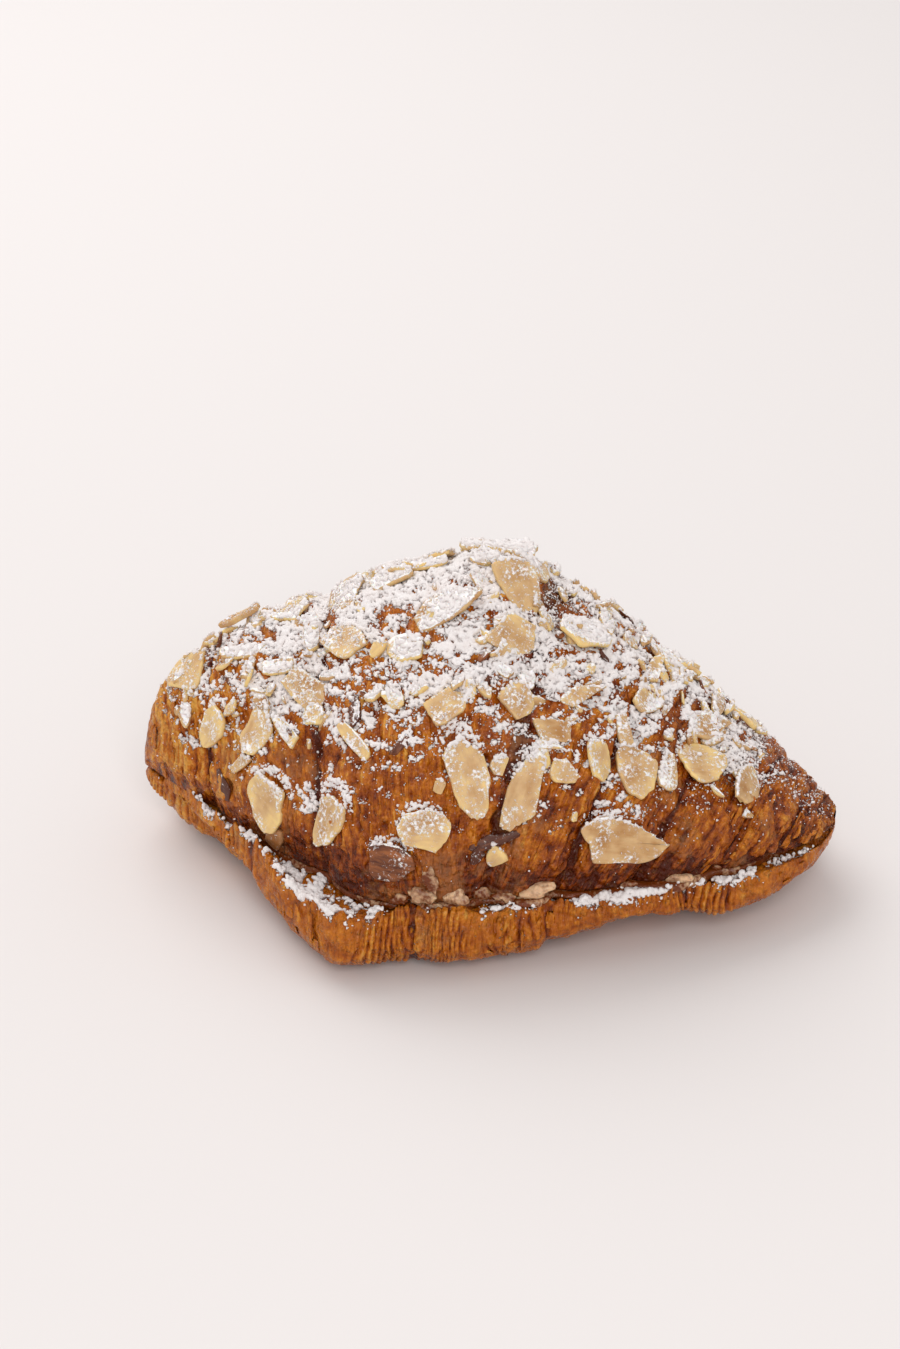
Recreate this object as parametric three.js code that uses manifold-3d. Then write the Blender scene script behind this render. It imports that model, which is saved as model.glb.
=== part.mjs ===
import * as THREE from 'three';
import { mergeVertices } from 'three/addons/utils/BufferGeometryUtils.js';
import Module from 'manifold-3d';

// Almond croissant: a baked crescent roll split level, spread with almond filling, closed and topped
// with flaked almonds. Millimetres, +Z up, +X along the roll, -Y towards the front.

const LENGTH = 152;
const HALF = LENGTH / 2;
const CREST_HEIGHT = 70;
const SEAM_HEIGHT = 14.6;
const FILLING_THICKNESS = 2.4;
const CROWN_FOOT = SEAM_HEIGHT + FILLING_THICKNESS;

// The roll's centre line: its place at mid length, and how far each end comes forward of it.
const SPINE_BACK = 8.36;
const SPINE_LEFT_FORWARD = 5;
const SPINE_RIGHT_FORWARD = 7;

// How a half width or a height dies away from its peak to both tips.
const PEAK_ROUNDING = 0.1;
const RIDGE_TAPER = { peak: 2, leftFall: 0.6, leftPower: 12, rightFall: 1.1, rightPower: 16 };
const CROWN_FRONT_WIDTH = 54;
const CROWN_FRONT_TAPER = { peak: -16, leftFall: 0.78, leftPower: 2, rightFall: 0.26, rightPower: 2.2 };
const CROWN_BACK_WIDTH = 36;
const CROWN_BACK_TAPER = { peak: 4, leftFall: 0.35, leftPower: 2.6, rightFall: 0.45, rightPower: 2.6 };
const RIM_FRONT_WIDTH = 56.5;
const RIM_FRONT_TAPER = { peak: -24, leftFall: 0.98, leftPower: 2.3, rightFall: 0.4, rightPower: 3.5 };
const RIM_BACK_WIDTH = 39.5;
const RIM_BACK_TAPER = { peak: 4, leftFall: 0.33, leftPower: 2.6, rightFall: 0.42, rightPower: 2.6 };

// Crown: the face is a little fuller than an ellipse and tucks in where it meets the filling.
const FACE_POWER = 1.12;
const FOOT_TUCK = 2.2;
const FOOT_TUCK_REACH = 0.28;
const FOOT_TUCK_FULL_WIDTH = 6;

// The dough is rolled in tiers whose edges lean outwards as they climb from the front foot, most of it
// within the first LEAN_TURN radians. The tiers of the slender right end are the shallower ones.
const LEAN_LEFT = 7;
const LEAN_RIGHT = 24;
const LEAN_TURN = 1.3;
const LEAN_FULL_SHARE = 0.1;
const LEAN_END_POWER = 3;
const CROWN_TIERS_LEFT = [-57, -29];
const CROWN_TIERS_RIGHT = [4, 18, 34, 50, 62];
const CROWN_RELIEF_LEFT = 3;
const CROWN_RELIEF_RIGHT = 2;
const CROWN_RELIEF_FROM = -10;
const CROWN_RELIEF_TO = 30;
const BASE_TIERS_LEFT = [-46, -9];
const BASE_TIERS_RIGHT = [17, 45];
const BASE_TIER_RELIEF = 1.8;
const TIER_BACK_LEVEL = 0.8;
const TIER_RISE_SHARE = 0.5;
const TIER_LIP_START = 0.78;
const TIER_TOP_LOSS = 0.45;
const TIER_TOP_FROM = 0.45;
const TIER_TOP_TO = 0.95;
const TIER_END_POWER = 6;

// Lower half: wall, flat sole, ends that rise, and a front hem that lifts off the board to both sides of
// the full front corner, most under a shallow arch at the right.
const WALL_POWER = 0.22;
const WALL_DROP_POWER = 0.7;
const WALL_BULGE = 2.4;
const WALL_BULGE_FULL_WIDTH = 8;
const WALL_LEAST = 1.2;
const SOLE_FLATNESS = 1.06;
const SOLE_FLAT_SHARE = 0.4;
const SOLE_END_POWER = 2;
const HEM_LEFT = { lift: 9, from: -24, to: -60 };
const HEM_RIGHT = { lift: 3.5, from: 6, to: 24 };
const HEM_FROM = 0.05;
const HEM_FULL = 0.4;
const ARCH_HEIGHT = 6.5;
const ARCH_AT = 36;
const ARCH_REACH = 11;

// Filling: sits just proud of the crown's foot and swells into lumps at the front.
const FILLING_HALF = 74.5;
const FILLING_PROUD = 0.5;
const FILLING_ROUNDING = 0.6;
const FILLING_END_POWER = 8;
const FILLING_ROWS = 44;
const FILLING_LUMPS = [
  { at: -34, swell: 1.6, reach: 4 },
  { at: -6, swell: 1.5, reach: 5 },
  { at: 13, swell: 1.9, reach: 6 },
  { at: 40, swell: 1.8, reach: 5 },
];

// Flaked almonds: thickness, and the place (x, degrees up and over from the front foot), turn, length
// and width of the large ones on the front and the shoulder.
const FLAKE_THICKNESS = 1.7;
const FLAKE_SUNK = 0.75;
const FLAKE_SIDES = 8;
const FLAKE_BEARING = 0.4;
const OVAL_POINT = 0.3;
const HALF_POINT = 0.2;
const HALF_FLATNESS = 0.9;
const STRIP_SQUARENESS = 0.5;
const CHIP_SQUARENESS = 0.65;
const CHIP_SKEW = 0.15;
const FLAKES = [
  { kind: 'oval', x: 32.5, up: 18.5, turn: 0, length: 20.5, width: 10 },
  { kind: 'chip', x: -42.5, up: 17.5, turn: -28, length: 13, width: 11 },
  { kind: 'oval', x: -28, up: 20, turn: -115, length: 14, width: 10 },
  { kind: 'chip', x: -8, up: 19, turn: -10, length: 12, width: 8.5 },
  { kind: 'oval', x: 0, up: 30, turn: -70, length: 19, width: 9.5 },
  { kind: 'strip', x: 12, up: 27, turn: -105, length: 17, width: 7 },
  { kind: 'chip', x: 19, up: 35, turn: -55, length: 8, width: 6 },
  { kind: 'oval', x: 34, up: 40.5, turn: -80, length: 14.5, width: 8.5 },
  { kind: 'oval', x: 47, up: 54, turn: 22, length: 14.5, width: 9.5 },
  { kind: 'strip', x: 40, up: 45, turn: -93, length: 8.5, width: 4.5 },
  { kind: 'chip', x: 26, up: 41, turn: -95, length: 8.5, width: 7 },
  { kind: 'strip', x: 16, up: 43.5, turn: 12, length: 8.5, width: 4.5 },
  { kind: 'oval', x: 9, up: 47, turn: -38, length: 9, width: 7.5 },
  { kind: 'chip', x: -5.5, up: 45.5, turn: 35, length: 10, width: 7 },
  { kind: 'strip', x: -23, up: 40, turn: -42, length: 10.5, width: 3 },
  { kind: 'chip', x: -33, up: 46, turn: 0, length: 7, width: 6 },
  { kind: 'oval', x: -46, up: 39, turn: -115, length: 14, width: 8 },
  { kind: 'chip', x: -57, up: 38, turn: 35, length: 10, width: 8 },
  { kind: 'strip', x: -39, up: 40, turn: -42, length: 9, width: 3 },
  { kind: 'oval', x: -13.5, up: 11.5, turn: -18, length: 12.5, width: 8 },
  { kind: 'strip', x: -49, up: 27, turn: 37, length: 7.5, width: 2.5 },
  { kind: 'oval', x: 6, up: 79, turn: -62, length: 16, width: 9 },
  { kind: 'chip', x: 6, up: 63.5, turn: -5, length: 12, width: 8.5 },
  { kind: 'oval', x: -8, up: 70.5, turn: 8, length: 18, width: 8 },
  { kind: 'oval', x: -14, up: 62, turn: -33, length: 11, width: 7.5 },
  { kind: 'oval', x: -28, up: 66.5, turn: -32, length: 14, width: 8 },
  { kind: 'half', x: -53, up: 98, turn: 0, length: 11, width: 7 },
  { kind: 'oval', x: -64, up: 72, turn: 54, length: 12, width: 8.5 },
  { kind: 'chip', x: -36, up: 53.5, turn: -35, length: 12, width: 8 },
  { kind: 'oval', x: 20, up: 75, turn: 17, length: 14, width: 10 },
  { kind: 'half', x: 22, up: 55, turn: 47, length: 12, width: 6.5 },
  { kind: 'oval', x: 47, up: 72, turn: 38, length: 14, width: 6 },
];

// The rest are strewn over the top and the back by a seeded draw that keeps them apart.
const STREWN = { count: 44, seed: 71, tries: 16, left: -62, right: 56, from: 52, to: 142 };
const STREWN_KINDS = ['oval', 'half', 'chip', 'strip'];
const STREWN_SHORTEST = 7;
const STREWN_LONGEST = 14;
const STREWN_STRIP_WIDTH = 3.5;
const STREWN_SLIMMEST = 0.55;
const STREWN_SLIM_RANGE = 0.2;
const MM_PER_DEGREE = 0.75;
const MM_PER_DEGREE_LOSS = 0.6;

// Mesh fineness: rows along one tier (0 at its inner edge, 1 at its lip) and facets around the section.
const TIER_ROWS = [0, 0.12, 0.3, 0.52, 0.74, 0.86, 0.94, 0.985];
const CROWN_FACETS = 28;
const BASE_FACETS = 20;
const SKIN_SEARCH_STEPS = 40;

const COLOURS = { crust: 0xa8662a, crumb: 0xc08a48, filling: 0xe3c58f };

const clamp = (value, low, high) => Math.min(high, Math.max(low, value));

function smooth(low, high, value) {
  const t = clamp((value - low) / (high - low), 0, 1);
  return t * t * (3 - 2 * t);
}

function taper(x, shape) {
  const left = x < shape.peak;
  const reach = left ? HALF + shape.peak : HALF - shape.peak;
  const s = clamp(Math.abs(x - shape.peak) / reach, 0, 1);
  const fall = left ? shape.leftFall : shape.rightFall;
  const power = left ? shape.leftPower : shape.rightPower;
  const soft = Math.hypot(s, PEAK_ROUNDING) - PEAK_ROUNDING;
  return (1 - fall * soft) * Math.sqrt(clamp(1 - s ** power, 0, 1));
}

function spine(x) {
  const s = x / HALF;
  return SPINE_BACK - (x < 0 ? SPINE_LEFT_FORWARD : SPINE_RIGHT_FORWARD) * s * s;
}

// How far a rolled edge that starts at u has leaned outwards at an angle around the crown.
function lean(u, angle) {
  const s = Math.abs(u) / HALF;
  const most = (u < 0 ? -LEAN_LEFT : LEAN_RIGHT) * smooth(0, LEAN_FULL_SHARE, s);
  return most * (1 - s ** LEAN_END_POWER) * (1 - Math.exp(-angle / LEAN_TURN));
}

const tierEdges = (left, right) => [-HALF, ...left, ...right, HALF];

// 0 in a groove between tiers, 1 on the back of a tier.
function tier(u, edges) {
  let i = 0;
  while (i < edges.length - 2 && u >= edges[i + 1]) i += 1;
  const low = edges[i];
  const high = edges[i + 1];
  let t = clamp((u - low) / (high - low), 0, 1);
  if (high <= 0) t = 1 - t;
  else if (low < 0) t = 0.5 + Math.abs(t - 0.5);
  const rise = 1 - (1 - clamp(t / TIER_RISE_SHARE, 0, 1)) ** 2;
  const over = clamp((t - TIER_LIP_START) / (1 - TIER_LIP_START), 0, 1);
  return Math.min(rise, Math.sqrt(1 - over * over));
}

const endFade = (u) => Math.sqrt(clamp(1 - (Math.abs(u) / HALF) ** TIER_END_POWER, 0, 1));

const CROWN_EDGES = tierEdges(CROWN_TIERS_LEFT, CROWN_TIERS_RIGHT);
const BASE_EDGES = tierEdges(BASE_TIERS_LEFT, BASE_TIERS_RIGHT);

// A point of the crown's skin: u along the roll, angle 0 at the front foot to pi at the back foot.
function crownPoint(u, angle) {
  const x = u + lean(u, angle);
  const c = Math.cos(angle);
  const s = Math.sin(angle);
  const height = (CREST_HEIGHT - CROWN_FOOT) * taper(x, RIDGE_TAPER);
  const front = CROWN_FRONT_WIDTH * taper(x, CROWN_FRONT_TAPER);
  const back = CROWN_BACK_WIDTH * taper(x, CROWN_BACK_TAPER);
  const width = c > 0 ? front : back;
  const top = 1 - TIER_TOP_LOSS * smooth(TIER_TOP_FROM, TIER_TOP_TO, s);
  const slender = smooth(CROWN_RELIEF_FROM, CROWN_RELIEF_TO, u);
  const depth = CROWN_RELIEF_LEFT + (CROWN_RELIEF_RIGHT - CROWN_RELIEF_LEFT) * slender;
  const relief = (tier(u, CROWN_EDGES) - TIER_BACK_LEVEL) * depth * endFade(u) * top;
  const foot = 1 - smooth(0, FOOT_TUCK_REACH, s);
  const tuck = FOOT_TUCK * foot * smooth(0, FOOT_TUCK_FULL_WIDTH, width);
  const out = Math.abs(c) ** FACE_POWER * width - tuck;
  return new THREE.Vector3(
    x,
    spine(x) - Math.sign(c) * out - c * relief,
    CROWN_FOOT + Math.max(0, s * height + s * relief),
  );
}

// The point of the crown's skin at this x and angle.
function crownAt(x, angle) {
  let low = -HALF;
  let high = HALF;
  for (let i = 0; i < SKIN_SEARCH_STEPS; i += 1) {
    const u = (low + high) / 2;
    if (u + lean(u, angle) < x) low = u;
    else high = u;
  }
  return crownPoint((low + high) / 2, angle);
}

// Height of the underside above the board: flat in the middle, rising to both tips and to the front hem.
function underside(u, c) {
  const t = clamp((Math.abs(u) / HALF - SOLE_FLAT_SHARE) / (1 - SOLE_FLAT_SHARE), 0, 1);
  const ends = SEAM_HEIGHT * (1 - Math.sqrt(1 - t ** SOLE_END_POWER));
  const left = HEM_LEFT.lift * smooth(-HEM_LEFT.from, -HEM_LEFT.to, -u);
  const right = HEM_RIGHT.lift * smooth(HEM_RIGHT.from, HEM_RIGHT.to, u);
  const arch = ARCH_HEIGHT * Math.exp(-(((u - ARCH_AT) / ARCH_REACH) ** 2));
  const hem = (left + right + arch) * smooth(HEM_FROM, HEM_FULL, c);
  return Math.min(ends + hem, SEAM_HEIGHT - WALL_LEAST * endFade(u));
}

// A point of the lower half's skin: angle 0 at the front rim, pi / 2 under the middle, pi at the back rim.
function basePoint(u, angle) {
  const c = Math.cos(angle);
  const drop = Math.min(1, SOLE_FLATNESS * Math.abs(Math.sin(angle)) ** WALL_DROP_POWER);
  const front = RIM_FRONT_WIDTH * taper(u, RIM_FRONT_TAPER);
  const back = RIM_BACK_WIDTH * taper(u, RIM_BACK_TAPER);
  const width = c > 0 ? front : back;
  const relief = (tier(u, BASE_EDGES) - TIER_BACK_LEVEL) * BASE_TIER_RELIEF * endFade(u);
  const tall = SEAM_HEIGHT - underside(u, c);
  const bulge = (WALL_BULGE * tall) / SEAM_HEIGHT;
  const belly = bulge * Math.sin(Math.PI * drop) * smooth(0, WALL_BULGE_FULL_WIDTH, width);
  const out = Math.abs(c) ** WALL_POWER * (width + relief) + belly;
  return new THREE.Vector3(u, spine(u) - Math.sign(c) * out, SEAM_HEIGHT - drop * tall);
}

function tierRows(edges) {
  const rows = [];
  for (let i = 0; i < edges.length - 1; i += 1) {
    const low = edges[i];
    const high = edges[i + 1];
    for (const t of TIER_ROWS) {
      if (high <= 0) rows.push(high - t * (high - low));
      else if (low >= 0) rows.push(low + t * (high - low));
      else rows.push((low + high + t * (high - low)) / 2, (low + high - t * (high - low)) / 2);
    }
  }
  rows.push(-HALF, HALF, ...edges);
  const sorted = rows.sort((a, b) => a - b);
  return sorted.filter((u, i) => i === 0 || u - sorted[i - 1] > 1e-6);
}

// Closed solid from rings of points along the roll; the first and last rows close to one point each.
function loft(rows, ring) {
  const positions = [];
  const index = [];
  const rings = rows.map((u) => ring(u));
  const around = rings[0].length;
  const inner = rings.slice(1, -1);
  const first = 0;
  positions.push(...rings[0][0].toArray());
  for (const points of inner) {
    for (const point of points) positions.push(...point.toArray());
  }
  const last = positions.length / 3;
  positions.push(...rings[rings.length - 1][0].toArray());
  const at = (row, k) => 1 + row * around + (k % around);
  for (let k = 0; k < around; k += 1) {
    index.push(first, at(0, k), at(0, k + 1));
    index.push(last, at(inner.length - 1, k + 1), at(inner.length - 1, k));
  }
  for (let row = 0; row < inner.length - 1; row += 1) {
    for (let k = 0; k < around; k += 1) {
      index.push(at(row, k), at(row + 1, k), at(row + 1, k + 1));
      index.push(at(row, k), at(row + 1, k + 1), at(row, k + 1));
    }
  }
  const geometry = new THREE.BufferGeometry();
  geometry.setAttribute('position', new THREE.Float32BufferAttribute(positions, 3));
  geometry.setIndex(index);
  return geometry;
}

function crownRing(u) {
  const points = [];
  for (let k = 0; k <= CROWN_FACETS; k += 1) points.push(crownPoint(u, (Math.PI * k) / CROWN_FACETS));
  return points;
}

function baseRing(u) {
  const points = [];
  for (let k = BASE_FACETS; k >= 0; k -= 1) points.push(basePoint(u, (Math.PI * k) / BASE_FACETS));
  return points;
}

function fillingRing(u) {
  const near = crownAt(u, 0);
  const far = crownAt(u, Math.PI);
  const open = Math.sqrt(clamp(1 - (Math.abs(u) / FILLING_HALF) ** FILLING_END_POWER, 0, 1));
  let swell = 0;
  for (const lump of FILLING_LUMPS) {
    swell += lump.swell * Math.exp(-(((u - lump.at) / lump.reach) ** 2));
  }
  const middle = (near.y + far.y) / 2;
  const front = middle + (near.y - FILLING_PROUD - swell - middle) * open;
  const back = middle + (far.y + FILLING_PROUD - middle) * open;
  const half = SEAM_HEIGHT + FILLING_THICKNESS / 2;
  const lip = FILLING_ROUNDING * open;
  return [
    new THREE.Vector3(u, front + lip, SEAM_HEIGHT),
    new THREE.Vector3(u, front, half),
    new THREE.Vector3(u, front + lip, CROWN_FOOT),
    new THREE.Vector3(u, back - lip, CROWN_FOOT),
    new THREE.Vector3(u, back, half),
    new THREE.Vector3(u, back - lip, SEAM_HEIGHT),
  ];
}

// Seeded draw of numbers from 0 to 1.
function draws(seed) {
  let state = seed;
  return () => {
    state = (1664525 * state + 1013904223) % 4294967296;
    return state / 4294967296;
  };
}

// Free distance from a place on the skin to the nearest flake already there.
function roomAt(x, up, flakes) {
  const perDegree = MM_PER_DEGREE * (1 - MM_PER_DEGREE_LOSS * Math.abs(x / HALF));
  let room = LENGTH;
  for (const flake of flakes) {
    const over = (up - flake.up) * perDegree;
    const along = x - flake.x;
    room = Math.min(room, Math.sqrt(along * along + over * over));
  }
  return room;
}

function strewnFlakes(placed) {
  const next = draws(STREWN.seed);
  const flakes = [];
  while (flakes.length < STREWN.count) {
    let best = null;
    for (let i = 0; i < STREWN.tries; i += 1) {
      const x = STREWN.left + next() * (STREWN.right - STREWN.left);
      const up = STREWN.from + next() * (STREWN.to - STREWN.from);
      const room = roomAt(x, up, [...placed, ...flakes]);
      if (best === null || room > best.room) best = { x, up, room };
    }
    const turn = next() * 180;
    const length = STREWN_SHORTEST + (STREWN_LONGEST - STREWN_SHORTEST) * next();
    const kind = STREWN_KINDS[Math.floor(next() * STREWN_KINDS.length)];
    const slim = STREWN_SLIMMEST + STREWN_SLIM_RANGE * next();
    const width = kind === 'strip' ? STREWN_STRIP_WIDTH : length * slim;
    flakes.push({ kind, x: best.x, up: best.up, turn, length, width });
  }
  return flakes;
}

// Outline of a flake in its own plane, going round once.
function flakeOutline(flake, t) {
  const c = Math.cos(t);
  const s = Math.sin(t);
  let x = c;
  let y = s;
  if (flake.kind === 'oval') y = s * (1 - OVAL_POINT * c);
  if (flake.kind === 'half') y = s < 0 ? (1 - HALF_FLATNESS) * s : s * (1 - HALF_POINT * c);
  if (flake.kind === 'strip') {
    x = Math.sign(c) * Math.abs(c) ** STRIP_SQUARENESS;
    y = Math.sign(s) * Math.abs(s) ** STRIP_SQUARENESS;
  }
  if (flake.kind === 'chip') {
    x = Math.sign(c) * Math.abs(c) ** CHIP_SQUARENESS + CHIP_SKEW * s;
    y = Math.sign(s) * Math.abs(s) ** CHIP_SQUARENESS * (1 + CHIP_SKEW * c);
  }
  return [(x * flake.length) / 2, (y * flake.width) / 2];
}

// Where a flake lies: its middle and its three directions, read from the skin under its ends and sides.
function seatOf(flake) {
  const angle = THREE.MathUtils.degToRad(flake.up);
  const turn = THREE.MathUtils.degToRad(flake.turn);
  const stepX = 2;
  const stepAngle = 0.05;
  const alongSkin = crownAt(flake.x + stepX, angle).distanceTo(crownAt(flake.x - stepX, angle));
  const perX = alongSkin / (2 * stepX);
  const overTop = crownAt(flake.x, angle + stepAngle).distanceTo(crownAt(flake.x, angle - stepAngle));
  const perAngle = overTop / (2 * stepAngle);
  const skin = (a, b) => {
    const dx = (a * Math.cos(turn) - b * Math.sin(turn)) / perX;
    const dAngle = (a * Math.sin(turn) + b * Math.cos(turn)) / perAngle;
    return crownAt(flake.x + dx, angle + dAngle);
  };
  const middle = skin(0, 0);
  const head = skin(FLAKE_BEARING * flake.length, 0);
  const tail = skin(-FLAKE_BEARING * flake.length, 0);
  const left = skin(0, FLAKE_BEARING * flake.width);
  const right = skin(0, -FLAKE_BEARING * flake.width);
  const along = head.clone().sub(tail).normalize();
  const normal = along.clone().cross(left.clone().sub(right)).normalize();
  const across = normal.clone().cross(along);
  const around = head.clone().add(tail).add(left).add(right).divideScalar(4);
  const rise = Math.max(0, around.sub(middle).dot(normal));
  return { middle: middle.addScaledVector(normal, rise), along, across, normal };
}

function flakeGeometry(flake) {
  const seat = seatOf(flake);
  const positions = [];
  const index = [];
  const levels = [-FLAKE_SUNK, FLAKE_THICKNESS - FLAKE_SUNK];
  for (const level of levels) {
    for (let k = 0; k < FLAKE_SIDES; k += 1) {
      const [a, b] = flakeOutline(flake, (2 * Math.PI * k) / FLAKE_SIDES);
      const point = seat.middle.clone().addScaledVector(seat.along, a).addScaledVector(seat.across, b);
      positions.push(...point.addScaledVector(seat.normal, level).toArray());
    }
  }
  for (let k = 0; k < FLAKE_SIDES; k += 1) {
    const next = (k + 1) % FLAKE_SIDES;
    index.push(k, next, next + FLAKE_SIDES, k, next + FLAKE_SIDES, k + FLAKE_SIDES);
    if (k > 0 && k < FLAKE_SIDES - 1) {
      index.push(0, next, k, FLAKE_SIDES, FLAKE_SIDES + k, FLAKE_SIDES + next);
    }
  }
  const geometry = new THREE.BufferGeometry();
  geometry.setAttribute('position', new THREE.Float32BufferAttribute(positions, 3));
  geometry.setIndex(index);
  return geometry;
}

const wasm = await Module();
wasm.setup();

function toSolid(geometry) {
  geometry.deleteAttribute('normal');
  geometry.deleteAttribute('uv');
  const merged = mergeVertices(geometry, 1e-4);
  const vertProperties = new Float32Array(merged.attributes.position.array);
  const triVerts = new Uint32Array(merged.index.array);
  return new wasm.Manifold(new wasm.Mesh({ numProp: 3, vertProperties, triVerts }));
}

function toGeometry(solid) {
  const mesh = solid.getMesh();
  const geometry = new THREE.BufferGeometry();
  geometry.setAttribute('position', new THREE.Float32BufferAttribute(mesh.vertProperties, 3));
  geometry.setIndex(Array.from(mesh.triVerts));
  geometry.computeVertexNormals();
  return geometry;
}

function node(name, geometry, colour, roughness) {
  geometry.computeVertexNormals();
  const material = new THREE.MeshStandardMaterial({ color: colour, roughness, metalness: 0 });
  const mesh = new THREE.Mesh(geometry, material);
  mesh.name = name;
  return mesh;
}

// The outer skin alone: pockets closed off under crossed flakes are filled.
function withoutPockets(solid) {
  return solid.decompose().reduce((best, shell) => (shell.volume() > best.volume() ? shell : best));
}

function makeCrown() {
  let solid = toSolid(loft(tierRows(CROWN_EDGES), crownRing));
  for (const flake of [...FLAKES, ...strewnFlakes(FLAKES)]) {
    solid = solid.add(toSolid(flakeGeometry(flake)));
  }
  return toGeometry(withoutPockets(solid));
}

function makeFilling() {
  const rows = [];
  for (let i = 0; i <= FILLING_ROWS; i += 1) {
    rows.push(-FILLING_HALF * Math.cos((Math.PI * i) / FILLING_ROWS));
  }
  return loft(rows, fillingRing);
}

const croissant = new THREE.Group();
croissant.name = 'almond_croissant';
croissant.add(node('lower_half', loft(tierRows(BASE_EDGES), baseRing), COLOURS.crumb, 0.7));
croissant.add(node('almond_filling', makeFilling(), COLOURS.filling, 0.6));
croissant.add(node('upper_half', makeCrown(), COLOURS.crust, 0.6));

export default croissant;
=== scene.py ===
"""Dresses the almond croissant: baked crust, flaked almonds, almond cream and a dusting of sugar."""

import logging
import math
from dataclasses import dataclass, field, replace
from enum import Enum
from typing import Any, Callable, Iterator

import bpy
import numpy as np
from mathutils import Matrix, Vector


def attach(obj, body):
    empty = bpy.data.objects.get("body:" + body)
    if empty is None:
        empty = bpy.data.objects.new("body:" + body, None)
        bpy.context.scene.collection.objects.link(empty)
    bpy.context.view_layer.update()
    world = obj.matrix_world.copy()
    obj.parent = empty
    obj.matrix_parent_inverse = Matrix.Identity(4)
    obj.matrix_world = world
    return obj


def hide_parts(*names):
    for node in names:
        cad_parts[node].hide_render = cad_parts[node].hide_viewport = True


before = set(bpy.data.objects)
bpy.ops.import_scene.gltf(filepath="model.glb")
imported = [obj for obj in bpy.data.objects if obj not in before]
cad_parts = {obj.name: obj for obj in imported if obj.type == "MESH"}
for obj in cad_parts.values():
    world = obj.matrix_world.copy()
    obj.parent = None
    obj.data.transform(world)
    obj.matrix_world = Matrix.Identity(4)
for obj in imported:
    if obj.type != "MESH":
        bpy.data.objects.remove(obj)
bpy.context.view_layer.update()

Array = np.ndarray
Pair = tuple[float, float]
Triple = tuple[float, float, float]
Tree = bpy.types.NodeTree
Socket = bpy.types.NodeSocket
Material = bpy.types.Material
Object = bpy.types.Object
MM = 0.001
HALVINGS = 40
LOG = logging.getLogger("croissant")


def smooth(low: float, high: float, value: Array) -> Array:
    """Smooth step from 0 at low to 1 at high."""
    t = np.clip((value - low) / (high - low), 0.0, 1.0)
    return t * t * (3.0 - 2.0 * t)


def hump(value: Array, at: float, reach: float) -> Array:
    """Bell of height 1 around a place."""
    return np.exp(-(((value - at) / reach) ** 2))


def humps(value: Array, bells: tuple[Triple, ...]) -> Array:
    """Sum of bells, each given by its place, height and reach."""
    return sum(height * hump(value, at, reach) for at, height, reach in bells)


def unit(vectors: Array) -> Array:
    """Vectors of length one along the last axis."""
    return vectors / np.maximum(np.linalg.norm(vectors, axis=-1, keepdims=True), 1e-9)


def lattice_noise(places: Array, seed: int) -> Array:
    """Smooth noise on a cubic lattice of unit spacing.

    Args:
        places: Coordinates, three along the last axis.
        seed: Number that picks the pattern.

    Returns:
        Noise from -1 to 1, one value for each place.
    """
    cell = np.floor(places).astype(np.int64)
    part = places - cell
    fade = part * part * part * (part * (part * 6.0 - 15.0) + 10.0)
    total = np.zeros(places.shape[:-1])
    for corner in range(8):
        step = np.array([corner & 1, corner >> 1 & 1, corner >> 2 & 1])
        at = cell + step
        code = (at[..., 0] * 73856093) ^ (at[..., 1] * 19349663) ^ (at[..., 2] * 83492791)
        code = (code ^ (seed * 40503 + 977)) & 0xFFFFFFFF
        code = ((code ^ (code >> 15)) * 739993) & 0xFFFFFFFF
        code = ((code ^ (code >> 12)) * 695617) & 0xFFFFFFFF
        code = code ^ (code >> 15)
        weight = np.prod(np.where(step == 1, fade, 1.0 - fade), axis=-1)
        total += weight * (code & 0xFFFF) / 32767.5
    return total - 1.0


def noise(places: Array, size: float, seed: int, layers: int = 2) -> Array:
    """Uneven pattern with finer and weaker layers added.

    Args:
        places: Points in millimetres.
        size: Size of the coarsest feature in millimetres.
        seed: Number that picks the pattern.
        layers: How many layers, each twice as fine as the last.

    Returns:
        Values of about -1 to 1.
    """
    total = np.zeros(places.shape[:-1])
    gain = 1.0
    for layer in range(layers):
        total += gain * lattice_noise(places * (2.0**layer / size) + 31.7 * layer, seed + layer)
        gain *= 0.5
    return total * 1.3 / (2.0 - 2.0 * gain)


@dataclass(frozen=True)
class Uneven:
    """One unevenness: its height, the size of its features in millimetres and its seed."""

    height: float
    size: float
    seed: int

    def at(self, places: Array) -> Array:
        """Heights at some points, in millimetres."""
        return self.height * noise(places, self.size, self.seed)


def pleats(phase: Array) -> Array:
    """Rounded pleats with sharp creases between them: 0 in a crease, 1 on a pleat's back."""
    part = phase - np.floor(phase)
    return 1.0 - (2.0 * part - 1.0) ** 2


def wrinkles(places: Array, across: float, along: float, seed: int) -> Array:
    """Fine sharp-backed wrinkles that run around the roll.

    Args:
        places: Points in millimetres.
        across: Distance between wrinkles.
        along: How far a wrinkle runs.
        seed: Number that picks the pattern.

    Returns:
        0 between wrinkles to 1 on their backs.
    """
    drawn = places * np.array([1.0 / across, 1.0 / along, 1.0 / along])
    return 1.0 - np.abs(noise(drawn, 1.0, seed, 3)).clip(0.0, 1.0) ** 0.8


def grid_normals(points: Array) -> Array:
    """Outward unit normals of a grid of points, rows along the roll and columns around it."""
    return unit(np.cross(np.gradient(points, axis=0), np.gradient(points, axis=1)))


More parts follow.
